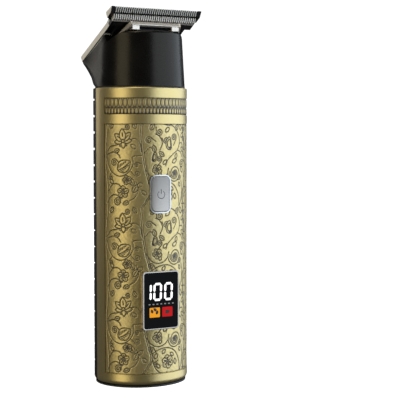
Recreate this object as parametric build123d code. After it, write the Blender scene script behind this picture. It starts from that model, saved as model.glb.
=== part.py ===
from build123d import *
import math
import os

# Cordless T-blade beard trimmer. Millimetres, +Z up, the front (display side) looks along -Y.

# ---- driving dimensions -------------------------------------------------------------------------
BODY_HALF_WIDTH = 20.6      # half width of the oval body
BODY_HALF_DEPTH = 19.2      # half depth of the oval body
CASING_TOP = 127.2          # top of the brass and black casings
TIP_RISE = 32.8             # height of the fixed blade's tooth tips over the casings
TIP_Y = -16.5               # where the tooth tips stand in depth
BLADE_SLOPE = 30.0          # slope of the blade plane below the horizontal, degrees
BLADE_HALF_WIDTH = 21.2     # half width of the T-blade over its wings
BLADE_LENGTH = 39.2         # length of the fixed blade along its slope
TOOTH_PITCH = 0.986         # spacing of the fixed blade's teeth
TOOTH_COUNT = 39
CUTTER_HALF_WIDTH = 19.3    # half width of the moving blade
CUTTER_TRAVEL = 0.9         # travel of the moving blade to each side
HEAD_HEIGHT = 24.0          # flat front top of the head housing over the casings
WALL = 2.2                  # casing wall
FOOT = 0.8                  # height of the bottom cap's foot under the casings
PARTING_Y = 1.0             # plane where the front and rear casings meet
PANEL_DEPTH = 0.5           # depth of the engraved panels' recess
PANEL_ANGLE = 75.0          # half angle of the engraved panels round the front
PANEL_BOTTOM = 5.5
BAND_MARGIN = 4.3           # plain ring above the narrow engraved band
BAND_HEIGHT = 7.3
PANEL_MARGIN = 3.6          # plain ring between the band and the large panel
RIB_COUNT = 17              # grooves across the rear casing
RIB_PITCH = 7.07
RIB_FIRST = 9.2
DISPLAY_Z = 37.1
DISPLAY_WIDTH = 17.4
DISPLAY_HEIGHT = 25.0
DISPLAY_CORNER = 1.4
BUTTON_Z = 82.2
BUTTON_WIDTH = 8.7
BUTTON_HEIGHT = 14.9
BUTTON_CORNER = 2.2
BUTTON_TRAVEL = 0.4
RIM = 0.6                   # width of the rims round the display and the button
MOTOR_Y = -2.0              # motor axis in depth
MOTOR_RADIUS = 12.2
MOTOR_LENGTH = 28.0
MOTOR_DROP = 9.2            # motor's end below the top of the casings
SHAFT_RADIUS = 1.0
PIN_RADIUS = 0.9
ECCENTRICITY = 0.9
CELL_RADIUS = 9.0
CELL_LENGTH = 50.0
CELL_BOTTOM = 12.0
CELL_Y = 5.2
BOARD_Y = -8.0              # front face of the main board
BOARD_THICKNESS = 1.2
SCREW_RADIUS = 0.95

# ---- heights that follow -------------------------------------------------------------------------
TIP_HEIGHT = CASING_TOP + TIP_RISE
HEAD_TOP = CASING_TOP + HEAD_HEIGHT
BAND_TOP = CASING_TOP - BAND_MARGIN
BAND_BOTTOM = BAND_TOP - BAND_HEIGHT
PANEL_TOP = BAND_BOTTOM - PANEL_MARGIN
MOTOR_TOP = CASING_TOP - MOTOR_DROP
MOTOR_BOTTOM = MOTOR_TOP - MOTOR_LENGTH

SEAL_HEIGHT = 0.6
HEAD_BOTTOM = CASING_TOP + SEAL_HEIGHT
PLATE_TOP = MOTOR_TOP + 2.0 # top of the motor plate
SKIRT_BOTTOM = PLATE_TOP + 2.0
DECK_BOTTOM = HEAD_BOTTOM + 3.2
DECK_TOP = DECK_BOTTOM + 1.8
CAM_TOP = DECK_TOP + 4.7
DRIVER_BOTTOM = CAM_TOP + 0.8
PIN_TOP = CAM_TOP + 7.4

# ---- clearances ---------------------------------------------------------------------------------
SEAM = 0.05                 # seam between neighbouring fixed pieces
GAP = 0.3                   # gap round moving pieces
CAP_GAP = 0.1               # gap round the button cap in its rim
SHEAR_GAP = 0.05            # sliding fit between the two blades
BUSH_GAP = 0.05             # running fit of the shaft
SCREW_GAP = 0.05

BLADE = Plane(
    origin=(0, TIP_Y, TIP_HEIGHT),
    x_dir=(1, 0, 0),
    z_dir=(0, math.sin(math.radians(BLADE_SLOPE)), math.cos(math.radians(BLADE_SLOPE))),
)
SHEAR_N = -1.5              # cutting face of the fixed blade, across the blade plane
SKIN_N = 1.1                # outer face of the fixed blade
CUTTER_BOTTOM_N = -3.1
PLATE_THICKNESS = 0.8
PLATE_START = 17.2
CUTTER_TIP = 2.9
CUTTER_END = 16.5
CUTTER_TAIL = 15.4


def oval(inset, z0, z1, more=0.0):
    """An oval column with the body's section, its wall moved in by inset."""
    face = Ellipse(BODY_HALF_WIDTH - inset + more, BODY_HALF_DEPTH - inset + more)
    return extrude(Pos(0, 0, z0) * face, amount=z1 - z0)


def block(x0, x1, y0, y1, z0, z1):
    """A box between two corners."""
    return Pos((x0 + x1) / 2, (y0 + y1) / 2, (z0 + z1) / 2) * Box(x1 - x0, y1 - y0, z1 - z0)


def rod(x, y, radius, z0, z1):
    """An upright cylinder."""
    return Pos(x, y, (z0 + z1) / 2) * Cylinder(radius, z1 - z0)


def tube(x, y, inner, outer, z0, z1):
    """An upright ring."""
    return rod(x, y, outer, z0, z1) - rod(x, y, inner, z0, z1)


def window(width, height, corner, z, y0, y1):
    """A rounded rectangle seen from the front, carried in depth from y0 to y1."""
    plane = Plane(origin=(0, y1, z), x_dir=(1, 0, 0), z_dir=(0, -1, 0))
    return extrude(plane * RectangleRounded(width, height, corner), amount=y1 - y0)


def in_blade(shape):
    """Places a shape given in the blade's own axes: across, down the slope, out of the face."""
    return BLADE * shape


def slope_block(x0, x1, s0, s1, n0, n1):
    return in_blade(block(x0, x1, s0, s1, n0, n1))


def slope_rod(x, s, radius, n0, n1):
    return in_blade(rod(x, s, radius, n0, n1))


def side_profile(points, x0, x1):
    """A solid whose side view is the polygon given as depth and height, from x0 to x1."""
    face = Plane(origin=(x0, 0, 0), x_dir=(0, 1, 0), z_dir=(1, 0, 0)) * Polygon(*points, align=None)
    return extrude(face, amount=x1 - x0, dir=(1, 0, 0))


def mirrored(shape):
    """The shape together with its mirror image across the middle."""
    return [shape, mirror(shape, about=Plane.YZ)]


def group(solids):
    return Compound(children=list(solids))


def save(shape, name):
    export_step(shape, "parts/" + name + ".step")


os.makedirs("parts", exist_ok=True)

# ---- front casing -------------------------------------------------------------------------------
FAR = 60.0
front_wedge = extrude(
    Polygon(
        (0, 0),
        (-FAR * math.sin(math.radians(PANEL_ANGLE)), -FAR * math.cos(math.radians(PANEL_ANGLE))),
        (-FAR, -FAR),
        (FAR, -FAR),
        (FAR * math.sin(math.radians(PANEL_ANGLE)), -FAR * math.cos(math.radians(PANEL_ANGLE))),
        align=None,
    ),
    amount=CASING_TOP,
)


def panel_recess(z0, z1):
    ring = oval(0, z0, z1, more=3.0) - oval(PANEL_DEPTH, z0, z1)
    return ring & front_wedge


column = oval(0, FOOT, CASING_TOP)
column = fillet(column.edges().group_by(Axis.Z)[0], 2.0)
column = fillet(column.edges().group_by(Axis.Z)[-1], 0.5)
shell = column - oval(WALL, 0, CASING_TOP + 1)
front = shell & block(-FAR, FAR, -FAR, PARTING_Y, 0, CASING_TOP + 1)
front = front - panel_recess(PANEL_BOTTOM, PANEL_TOP) - panel_recess(BAND_BOTTOM, BAND_TOP)
display_hole = window(DISPLAY_WIDTH, DISPLAY_HEIGHT, DISPLAY_CORNER, DISPLAY_Z, -FAR, 0)
button_outer_width = BUTTON_WIDTH + 2 * (CAP_GAP + RIM)
button_outer_height = BUTTON_HEIGHT + 2 * (CAP_GAP + RIM)
button_hole = window(button_outer_width, button_outer_height, BUTTON_CORNER + RIM, BUTTON_Z, -FAR, 0)
front = front - display_hole - button_hole
save(front, "front_casing")

# ---- rear casing --------------------------------------------------------------------------------
rear = shell & block(-FAR, FAR, PARTING_Y + SEAM, FAR, 0, CASING_TOP + 1)
groove_ring = oval(0, 0, 1, more=3.0) - oval(0.55, 0, 1)
for index in range(RIB_COUNT):
    height = RIB_FIRST + index * RIB_PITCH
    ring = groove_ring & block(-FAR, FAR, PARTING_Y + 2.0, FAR, 0, 1)
    rear = rear - Pos(0, 0, height - 0.5) * ring
save(rear, "rear_casing")

# ---- bottom cap, charging socket ----------------------------------------------------------------
SOCKET_Y = 9.0
SOCKET_WIDTH = 8.9
SOCKET_HEIGHT = 3.2
SOCKET_DEPTH = 7.2
BOTTOM_SCREW_X = 11.0


def stadium(width, height, z0, z1):
    face = RectangleRounded(width, height, height / 2 - 0.01)
    return extrude(Pos(0, SOCKET_Y, z0) * face, amount=z1 - z0)


cap = oval(0.7, 0, FOOT) + oval(WALL + CAP_GAP, FOOT - 0.2, 4.0)
cap = cap - stadium(SOCKET_WIDTH + 2 * SEAM, SOCKET_HEIGHT + 2 * SEAM, -1, 5)
for x in (-BOTTOM_SCREW_X, BOTTOM_SCREW_X):
    cap = cap - rod(x, 0, 2.1, -1, 1.8) - rod(x, 0, SCREW_RADIUS + 0.15, 0, 5)
save(cap, "bottom_cap")
socket = stadium(SOCKET_WIDTH, SOCKET_HEIGHT, 0.3, 0.3 + SOCKET_DEPTH)
socket = socket - stadium(SOCKET_WIDTH - 0.6, SOCKET_HEIGHT - 0.6, 0, SOCKET_DEPTH - 0.3)
save(socket, "charge_socket")
tongue = block(-3.3, 3.3, SOCKET_Y - 0.35, SOCKET_Y + 0.35, 1.6, SOCKET_DEPTH - 0.3)
save(tongue, "socket_tongue")
bottom_screws = []
for x in (-BOTTOM_SCREW_X, BOTTOM_SCREW_X):
    screw = rod(x, 0, 1.95, 0.4, 1.8) + rod(x, 0, SCREW_RADIUS, 1.8, 8.0)
    screw = screw - Pos(x, 0, 0.4) * Box(2.6, 0.5, 1.0) - Pos(x, 0, 0.4) * Box(0.5, 2.6, 1.0)
    bottom_screws.append(screw)
save(group(bottom_screws), "bottom_screws")

# ---- display ------------------------------------------------------------------------------------
lens_width = DISPLAY_WIDTH - 2 * RIM
lens_height = DISPLAY_HEIGHT - 2 * RIM
display_face = -BODY_HALF_DEPTH - 0.15
bezel = window(
    DISPLAY_WIDTH - 2 * SEAM, DISPLAY_HEIGHT - 2 * SEAM, DISPLAY_CORNER, DISPLAY_Z, display_face, -16.4
)
bezel = fillet(bezel.faces().sort_by(Axis.Y)[0].edges(), 0.25)
bezel = bezel - window(lens_width, lens_height, DISPLAY_CORNER - RIM / 2, DISPLAY_Z, -FAR, 0)
save(bezel, "display_bezel")
lens_back = display_face + 1.6
lens_wide, lens_tall = lens_width - 2 * SEAM, lens_height - 2 * SEAM
lens = window(lens_wide, lens_tall, DISPLAY_CORNER - RIM / 2, DISPLAY_Z, display_face + 0.1, lens_back)
save(lens, "display_lens")
module = block(-7.4, 7.4, lens_back, BOARD_Y, DISPLAY_Z - 11, DISPLAY_Z + 11)
save(module, "display_module")

# ---- power button -------------------------------------------------------------------------------
rim = oval(-0.4, BUTTON_Z - 12, BUTTON_Z + 12) - oval(WALL - 0.2, BUTTON_Z - 13, BUTTON_Z + 13)
rim = rim & window(
    button_outer_width - 2 * SEAM, button_outer_height - 2 * SEAM, BUTTON_CORNER + RIM, BUTTON_Z, -FAR, 0
)
rim = rim - window(
    BUTTON_WIDTH + 2 * CAP_GAP, BUTTON_HEIGHT + 2 * CAP_GAP, BUTTON_CORNER + CAP_GAP, BUTTON_Z, -FAR, 0
)
save(rim, "button_bezel")
button = oval(-0.55, BUTTON_Z - 12, BUTTON_Z + 12) - oval(1.6, BUTTON_Z - 13, BUTTON_Z + 13)
button = button & window(BUTTON_WIDTH, BUTTON_HEIGHT, BUTTON_CORNER, BUTTON_Z, -FAR, 0)
button = fillet(button.faces().sort_by(Axis.Y)[0].edges(), 0.35)
switch_top = BOARD_Y - 4.2
stem_length = BODY_HALF_DEPTH - 2.0 + switch_top - BUTTON_TRAVEL - GAP
stem = Pos(0, -BODY_HALF_DEPTH + 1.5 + (stem_length + 0.5) / 2, BUTTON_Z) * Rot(90, 0, 0) * Cylinder(
    1.5, stem_length + 0.5
)
button = button + stem
save(button, "power_button")
switch = block(-3, 3, BOARD_Y - 3.4, BOARD_Y, BUTTON_Z - 3, BUTTON_Z + 3)
switch = switch + Pos(0, BOARD_Y - 3.8, BUTTON_Z) * Rot(90, 0, 0) * Cylinder(1.7, 0.8)
save(switch, "push_switch")

# ---- main board ---------------------------------------------------------------------------------
BOARD_BOTTOM = 12.0
BOARD_TOP = MOTOR_BOTTOM - 2.0
BOARD_HALF = 13.0
board_back = BOARD_Y + BOARD_THICKNESS
board = block(-BOARD_HALF, BOARD_HALF, BOARD_Y, board_back, BOARD_BOTTOM, BOARD_TOP)
SCREW_LEVELS = (BOARD_BOTTOM + 2.5, BOARD_TOP - 2.5)
BOARD_SCREW_X = BOARD_HALF - 1.4
BOARD_SCREWS = [(x, z) for z in SCREW_LEVELS for x in (-BOARD_SCREW_X, BOARD_SCREW_X)]


def level_rod(x, z, radius, y0, y1):
    return Pos(x, (y0 + y1) / 2, z) * Rot(90, 0, 0) * Cylinder(radius, y1 - y0)


for x, z in BOARD_SCREWS:
    board = board - level_rod(x, z, 0.8, BOARD_Y - 1, board_back + 1)
save(board, "main_board")
board_screws = []
for x, z in BOARD_SCREWS:
    screw_head = level_rod(x, z, 1.3, BOARD_Y - 0.9, BOARD_Y)
    board_screws.append(screw_head + level_rod(x, z, 0.7, BOARD_Y, board_back + 2.6))
save(group(board_screws), "board_screws")
components = []
for x, z, wide, tall, thick in [
    (-6.0, 60.0, 5.0, 5.0, 1.2),
    (5.5, 61.0, 4.0, 6.0, 1.4),
    (0.0, 66.5, 3.2, 1.6, 0.9),
    (-7.5, 70.0, 2.0, 3.2, 0.8),
    (7.5, 70.5, 4.2, 4.2, 2.2),
    (-9.0, 54.0, 2.0, 1.2, 0.7),
    (-8.0, 80.0, 3.0, 3.0, 1.6),
    (8.5, 81.0, 3.5, 2.0, 1.0),
    (0.0, 18.0, 9.0, 3.0, 2.4),
    (-8.0, 20.0, 2.0, 2.0, 0.8),
]:
    components.append(block(x - wide / 2, x + wide / 2, BOARD_Y - thick, BOARD_Y, z - tall / 2, z + tall / 2))
save(group(components), "board_components")

# ---- inner frame --------------------------------------------------------------------------------
PLATE_INSET = WALL + 0.4
FRAME_BOTTOM = 8.5
COLUMN_X0 = MOTOR_RADIUS + 1.7
COLUMN_X1 = BODY_HALF_WIDTH - WALL - 1.1
frame = oval(PLATE_INSET, FRAME_BOTTOM, 10.0)
frame = frame - block(-FAR, FAR, -FAR, BOARD_Y - 2.5, 0, 11)
for x in (-BOTTOM_SCREW_X, BOTTOM_SCREW_X):
    frame = frame + rod(x, 0, 2.3, 4.0 + SEAM, FRAME_BOTTOM + 1)
    frame = frame - rod(x, 0, SCREW_RADIUS + SCREW_GAP, 0, 8.2)
cradle_top = CELL_BOTTOM + CELL_LENGTH + 5.0
cradle = tube(0, CELL_Y, CELL_RADIUS + 0.25, CELL_RADIUS + 1.6, 10.0, cradle_top)
cradle = cradle & block(-FAR, FAR, 0, FAR, 0, cradle_top + 1)
upper_plate = oval(PLATE_INSET, cradle_top - 1.5, cradle_top)
upper_plate = upper_plate - block(-FAR, FAR, -FAR, board_back, 0, CASING_TOP)
frame = frame + cradle + upper_plate
for side in (-1, 1):
    x0, x1 = sorted((side * (CELL_RADIUS + 1.2), side * BOARD_HALF))
    frame = frame + block(x0, x1, board_back, CELL_Y, 10.0, MOTOR_BOTTOM)
motor_bed = oval(PLATE_INSET, MOTOR_BOTTOM - 1.5, MOTOR_BOTTOM)
motor_bed = motor_bed - rod(0, MOTOR_Y, 6.0, MOTOR_BOTTOM - 2, MOTOR_BOTTOM + 1)
motor_ring = tube(0, MOTOR_Y, MOTOR_RADIUS + 0.2, MOTOR_RADIUS + 1.4, MOTOR_BOTTOM - 0.5, MOTOR_BOTTOM + 10)
frame = frame + motor_bed + motor_ring
for side in (-1, 1):
    x0, x1 = sorted((side * COLUMN_X0, side * COLUMN_X1))
    frame = frame + block(x0, x1, -3, 3, MOTOR_BOTTOM - 1, MOTOR_TOP - SEAM)
for x, z in BOARD_SCREWS:
    frame = frame - level_rod(x, z, 0.75, board_back - 1, board_back + 2.9)
save(frame, "inner_frame")

# ---- battery ------------------------------------------------------------------------------------
cell = rod(0, CELL_Y, CELL_RADIUS, CELL_BOTTOM, CELL_BOTTOM + CELL_LENGTH)
cell = fillet(cell.edges(), 0.6)
save(cell, "battery_cell")
tab_low = block(-3, 3, CELL_Y - 5, CELL_Y + 5, CELL_BOTTOM - 0.5, CELL_BOTTOM)
tab_low = tab_low + block(-3, 3, CELL_Y - 5.4, CELL_Y - 5.0, 10.0, CELL_BOTTOM)
cell_top = CELL_BOTTOM + CELL_LENGTH
tab_high = block(-3, 3, CELL_Y - 5, CELL_Y + 5, cell_top, cell_top + 0.5)
tab_high = tab_high + block(-3, 3, CELL_Y - 5.4, CELL_Y - 5.0, cell_top, cradle_top - 1.5)
save(group([tab_low, tab_high]), "battery_tabs")
foam = block(-5, 5, board_back, CELL_Y - CELL_RADIUS, 28, 46)
save(foam, "foam_pad")

# ---- motor --------------------------------------------------------------------------------------
can = rod(0, MOTOR_Y, MOTOR_RADIUS, MOTOR_BOTTOM, MOTOR_TOP)
can = fillet(can.edges().group_by(Axis.Z)[-1], 0.8)
can = can - rod(0, MOTOR_Y, MOTOR_RADIUS - 1.0, MOTOR_BOTTOM - 1, MOTOR_TOP - 1.0)
can = can - rod(0, MOTOR_Y, 3.2, MOTOR_TOP - 2, MOTOR_TOP + 1)
MOTOR_SCREW_X = 6.5
for x in (-MOTOR_SCREW_X, MOTOR_SCREW_X):
    can = can - rod(x, MOTOR_Y, SCREW_RADIUS + SCREW_GAP, MOTOR_TOP - 2, MOTOR_TOP + 1)
save(can, "motor_can")
end_cap = rod(0, MOTOR_Y, MOTOR_RADIUS - 1.0 - SEAM, MOTOR_BOTTOM, MOTOR_BOTTOM + 3)
for side in (-1, 1):
    x0, x1 = sorted((side * 6.5, side * 8.5))
    end_cap = end_cap + block(x0, x1, MOTOR_Y - 2, MOTOR_Y + 2, MOTOR_BOTTOM + 2, MOTOR_BOTTOM + 7)
end_cap = end_cap - rod(0, MOTOR_Y, 3.0, MOTOR_BOTTOM - 1, MOTOR_BOTTOM + 4)
save(end_cap, "motor_end_cap")
bushes = [
    tube(0, MOTOR_Y, SHAFT_RADIUS + BUSH_GAP, 3.0, MOTOR_BOTTOM, MOTOR_BOTTOM + 3),
    tube(0, MOTOR_Y, SHAFT_RADIUS + BUSH_GAP, 3.2, MOTOR_TOP - 1.5, MOTOR_TOP + 2.4),
]
save(group(bushes), "motor_bushes")
brushes = []
for side in (-1, 1):
    x0, x1 = sorted((side * (2.8 + GAP), side * 6.5))
    brushes.append(block(x0, x1, MOTOR_Y - 1.1, MOTOR_Y + 1.1, MOTOR_BOTTOM + 4.4, MOTOR_BOTTOM + 6.4))
save(group(brushes), "motor_brushes")
magnet_ring = tube(0, MOTOR_Y, MOTOR_RADIUS - 2.5, MOTOR_RADIUS - 1.0, MOTOR_BOTTOM + 9, MOTOR_TOP - 4)
magnets = []
for side in (-1, 1):
    x0, x1 = sorted((side * 3.0, side * 20.0))
    magnets.append(magnet_ring & block(x0, x1, -FAR, FAR, MOTOR_BOTTOM, MOTOR_TOP))
save(group(magnets), "motor_magnets")
shaft = rod(0, MOTOR_Y, SHAFT_RADIUS, MOTOR_BOTTOM + 0.8, CAM_TOP - 0.2)
save(shaft, "motor_shaft")
CORE_RADIUS = MOTOR_RADIUS - 2.9
core = tube(0, MOTOR_Y, SHAFT_RADIUS, CORE_RADIUS, MOTOR_BOTTOM + 11, MOTOR_TOP - 6)
for index in range(5):
    slot = block(CORE_RADIUS - 4.8, CORE_RADIUS + 0.2, -0.5, 0.5, MOTOR_BOTTOM, MOTOR_TOP)
    slot = slot + rod(CORE_RADIUS - 3.8, 0, 1.7, MOTOR_BOTTOM, MOTOR_TOP)
    core = core - Pos(0, MOTOR_Y, 0) * Rot(0, 0, index * 72) * slot
save(core, "armature_core")


def winding(z0, z1):
    return tube(0, MOTOR_Y, 3.4, CORE_RADIUS - 0.9, z0, z1)


windings = [
    fillet(winding(MOTOR_BOTTOM + 8, MOTOR_BOTTOM + 11).edges().group_by(Axis.Z)[0], 0.8),
    fillet(winding(MOTOR_TOP - 6, MOTOR_TOP - 3).edges().group_by(Axis.Z)[-1], 0.8),
]
save(group(windings), "armature_windings")
commutator = tube(0, MOTOR_Y, SHAFT_RADIUS, 2.8, MOTOR_BOTTOM + 3.5, MOTOR_BOTTOM + 7.6)
commutator = commutator + tube(0, MOTOR_Y, SHAFT_RADIUS, 3.4, MOTOR_BOTTOM + 7.6, MOTOR_BOTTOM + 11)
save(commutator, "commutator")

# ---- motor plate and its screws -----------------------------------------------------------------
HEAD_SCREW_X = 12.2
HEAD_SCREW_Y = 7.8
plate = oval(PLATE_INSET - 0.2, MOTOR_TOP, PLATE_TOP) - rod(0, MOTOR_Y, 3.3, MOTOR_TOP - 1, PLATE_TOP + 1)
for x in (-MOTOR_SCREW_X, MOTOR_SCREW_X):
    plate = plate - rod(x, MOTOR_Y, SCREW_RADIUS + 0.15, MOTOR_TOP - 1, PLATE_TOP + 1)
for x in (-HEAD_SCREW_X, HEAD_SCREW_X):
    plate = plate - rod(x, HEAD_SCREW_Y, SCREW_RADIUS + 0.15, MOTOR_TOP - 1, PLATE_TOP + 1)
save(plate, "motor_plate")
motor_screws = []
head_screws = []
for side in (-1, 1):
    x = side * MOTOR_SCREW_X
    screw = rod(x, MOTOR_Y, 1.9, PLATE_TOP, PLATE_TOP + 1.3)
    screw = screw + rod(x, MOTOR_Y, SCREW_RADIUS, MOTOR_TOP - 1.2, PLATE_TOP)
    motor_screws.append(screw - Pos(x, MOTOR_Y, PLATE_TOP + 1.3) * Box(2.4, 0.5, 1.0))
    x = side * HEAD_SCREW_X
    screw = rod(x, HEAD_SCREW_Y, 1.9, MOTOR_TOP - 1.3, MOTOR_TOP)
    screw = screw + rod(x, HEAD_SCREW_Y, SCREW_RADIUS, MOTOR_TOP, PLATE_TOP + 8)
    head_screws.append(screw)
save(group(motor_screws), "motor_screws")
save(group(head_screws), "head_screws")

# ---- head housing -------------------------------------------------------------------------------
HEAD_REAR = 18.1            # how far back the head's square rear corners stand
HEAD_CORNER_Z = HEAD_BOTTOM + 11.2
HEAD_SIDE = 19.6
ROUND_CORNER = 0.707        # how far a round corner reaches, as a share of a sharp one
SQUARE_CORNER = 0.944


def head_section(z):
    """The head's outline at one height: round in front, growing square at the rear."""
    t = min(1.0, (z - HEAD_BOTTOM) / (HEAD_CORNER_Z - HEAD_BOTTOM))
    side = HEAD_SIDE - 1.3 * (z - HEAD_BOTTOM) / (HEAD_TOP - HEAD_BOTTOM)
    front_depth = BODY_HALF_DEPTH - 0.7 - 1.2 * (z - HEAD_BOTTOM) / (HEAD_TOP - HEAD_BOTTOM)
    rear_depth = BODY_HALF_DEPTH - 0.7 + (HEAD_REAR - BODY_HALF_DEPTH + 0.7) * t
    power = -1 / math.log2(ROUND_CORNER + (SQUARE_CORNER - ROUND_CORNER) * t)
    points = []
    for index in range(80):
        angle = 2 * math.pi * index / 80
        c, s = math.cos(angle), math.sin(angle)
        if s >= 0:
            x = side * math.copysign(abs(c) ** (2 / power), c)
            y = rear_depth * abs(s) ** (2 / power)
            x = x * (1 + 0.11 * t * (y / rear_depth) ** 2)
        else:
            x = side * c
            y = front_depth * s
        points.append((x, y, z))
    return Face(Wire(Spline(points, periodic=True)))


SECTIONS = [HEAD_BOTTOM + rise for rise in (0, 4.7, 8.2)] + [HEAD_CORNER_Z, HEAD_CORNER_Z + 6, HEAD_TOP + 4]
head = loft([head_section(z) for z in SECTIONS])
head = head - block(-FAR, FAR, -FAR, FAR, HEAD_TOP, HEAD_TOP + FAR)
head_plane = SHEAR_N - PLATE_THICKNESS
POCKET_N = -5.9
head = head - slope_block(-FAR, FAR, -60, 80, head_plane, 60)
head = head - slope_block(-FAR, FAR, 0, PLATE_START, POCKET_N, 60)
top_edges = head.faces().sort_by(Axis.Z)[-1].edges()
head = fillet(top_edges.sort_by(Axis.Y)[0], 1.6)
skirt = oval(WALL + 0.1, SKIRT_BOTTOM, HEAD_BOTTOM + 0.5)
skirt = skirt - oval(WALL + 1.7, SKIRT_BOTTOM - 1, HEAD_BOTTOM + 1)
head = head - oval(WALL + 1.7, HEAD_BOTTOM - 1, DECK_BOTTOM)
head = head + skirt
for x in (-HEAD_SCREW_X, HEAD_SCREW_X):
    head = head + rod(x, HEAD_SCREW_Y, 2.4, PLATE_TOP + SEAM, DECK_BOTTOM + 0.5)
WELL_X = 8.2
head = head - block(-WELL_X, WELL_X, -9.6, 6.0, DECK_TOP, TIP_HEIGHT)
head = head - rod(0, MOTOR_Y, 4.6, HEAD_BOTTOM, DECK_TOP + 1)
BLADE_SCREW_X = 11.0
BLADE_SCREW_S = 31.0
BRACKET_SCREW_X = 9.3
BRACKET_SCREW_Y = -13.0
for x in (-BLADE_SCREW_X, BLADE_SCREW_X):
    head = head - slope_rod(x, BLADE_SCREW_S, SCREW_RADIUS + SCREW_GAP, -8.2, 0)
for x in (-HEAD_SCREW_X, HEAD_SCREW_X):
    head = head - rod(x, HEAD_SCREW_Y, SCREW_RADIUS + SCREW_GAP, PLATE_TOP - 1, PLATE_TOP + 8.3)
for x in (-BRACKET_SCREW_X, BRACKET_SCREW_X):
    head = head - rod(x, BRACKET_SCREW_Y, 0.75, HEAD_TOP - 5, HEAD_TOP + 1)
save(head, "head_housing")
seal = oval(0.9, CASING_TOP, HEAD_BOTTOM) - oval(WALL + 0.05, CASING_TOP - 1, HEAD_BOTTOM + 1)
save(seal, "head_seal")

# ---- fixed blade and its mount plate ------------------------------------------------------------
STEM_NARROW = 18.0
STEM_WIDE = 20.0
WING_LENGTH = 6.0


def blade_outline(inset, start):
    """Half outline of the blade, mirrored: wings, curved shoulders, then a stem widening to the rear."""
    wide = BLADE_HALF_WIDTH - inset
    with BuildSketch() as sketch:
        with BuildLine():
            edge = Polyline((0, start), (wide, start), (wide, WING_LENGTH))
            curve = Spline(
                edge @ 1,
                (STEM_NARROW + 0.8 - inset, WING_LENGTH + 2.8),
                (STEM_NARROW - inset, WING_LENGTH + 8.0),
                tangents=((-0.9, 0.45), (0, 1)),
            )
            Polyline(curve @ 1, (STEM_WIDE - inset, BLADE_LENGTH), (0, BLADE_LENGTH), (0, start))
        make_face()
        mirror(about=Plane.YZ)
    return sketch.sketch


blade_profile = [
    (-0.05, 0.15),
    (5.6, SKIN_N),
    (BLADE_LENGTH + 1, SKIN_N),
    (BLADE_LENGTH + 1, SHEAR_N),
    (2.3, SHEAR_N),
    (0.05, -0.2),
]
fixed = side_profile(blade_profile, -30, 30)
fixed = fixed & extrude(Pos(0, 0, -5) * blade_outline(0, -0.5), amount=10)
SLOT_WIDTH = 0.45
SLOT_LENGTH = 5.2
slots = []
for index in range(TOOTH_COUNT + 1):
    x = (index - TOOTH_COUNT / 2) * TOOTH_PITCH
    slots.append(block(x - SLOT_WIDTH / 2, x + SLOT_WIDTH / 2, -1, SLOT_LENGTH, -5, 5))
fixed = fixed - slots
for x in (-BLADE_SCREW_X, BLADE_SCREW_X):
    fixed = fixed - rod(x, BLADE_SCREW_S, 2.2, 0.1, 5) - rod(x, BLADE_SCREW_S, SCREW_RADIUS + 0.15, -5, 5)
save(in_blade(fixed), "fixed_blade")
mount_plate = extrude(Pos(0, 0, SHEAR_N - PLATE_THICKNESS) * blade_outline(0.4, 2.0), amount=PLATE_THICKNESS)
mount_plate = mount_plate & block(-30, 30, PLATE_START, BLADE_LENGTH, -5, 5)
for x in (-BLADE_SCREW_X, BLADE_SCREW_X):
    mount_plate = mount_plate - rod(x, BLADE_SCREW_S, SCREW_RADIUS + 0.15, -5, 5)
save(in_blade(mount_plate), "blade_mount_plate")
blade_screws = []
for x in (-BLADE_SCREW_X, BLADE_SCREW_X):
    screw = rod(x, BLADE_SCREW_S, 2.0, 0.1, 1.45) + rod(x, BLADE_SCREW_S, SCREW_RADIUS, -7.9, 0.1)
    screw = screw - Pos(x, BLADE_SCREW_S, 1.45) * Box(2.6, 0.55, 1.2)
    blade_screws.append(in_blade(screw - Pos(x, BLADE_SCREW_S, 1.45) * Box(0.55, 2.6, 1.2)))
save(group(blade_screws), "blade_screws")

# ---- moving blade and its driver ----------------------------------------------------------------
cutter_profile = [
    (CUTTER_TIP, SHEAR_N - SHEAR_GAP),
    (CUTTER_END, SHEAR_N - SHEAR_GAP),
    (CUTTER_END, CUTTER_BOTTOM_N),
    (CUTTER_TIP + 1.5, CUTTER_BOTTOM_N),
    (CUTTER_TIP, SHEAR_N - SHEAR_GAP - 0.35),
]
cutter = side_profile(cutter_profile, -30, 30)
cutter_plan = block(-CUTTER_HALF_WIDTH, CUTTER_HALF_WIDTH, 0, 9.5, -5, 5)
cutter_plan = cutter_plan + block(-CUTTER_TAIL, CUTTER_TAIL, 9, CUTTER_END, -5, 5)
cutter = cutter & cutter_plan
cutter_slots = []
for index in range(TOOTH_COUNT):
    x = (index - (TOOTH_COUNT - 1) / 2) * TOOTH_PITCH
    cutter_slots.append(block(x - SLOT_WIDTH / 2, x + SLOT_WIDTH / 2, 2, 5.6, -5, 0))
cutter = cutter - cutter_slots
save(in_blade(cutter), "moving_blade")
SLOT_HALF = PIN_RADIUS + ECCENTRICITY + CUTTER_TRAVEL + GAP
driver = block(-SLOT_HALF - 1.9, SLOT_HALF + 1.9, -6.6, 2.6, DRIVER_BOTTOM, TIP_HEIGHT)
driver = driver - slope_block(-FAR, FAR, -60, 60, CUTTER_BOTTOM_N, 60)
slot_reach = PIN_RADIUS + ECCENTRICITY + 0.5
slot_y0, slot_y1 = MOTOR_Y - slot_reach, MOTOR_Y + slot_reach
driver = driver - block(-SLOT_HALF, SLOT_HALF, slot_y0, slot_y1, CAM_TOP, PIN_TOP + 0.7)
save(driver, "cutter_driver")
cam = rod(0, MOTOR_Y, 3.6, DECK_TOP + 1.4, CAM_TOP)
cam = cam + rod(0, MOTOR_Y + ECCENTRICITY, PIN_RADIUS, CAM_TOP - 0.1, PIN_TOP)
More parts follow.
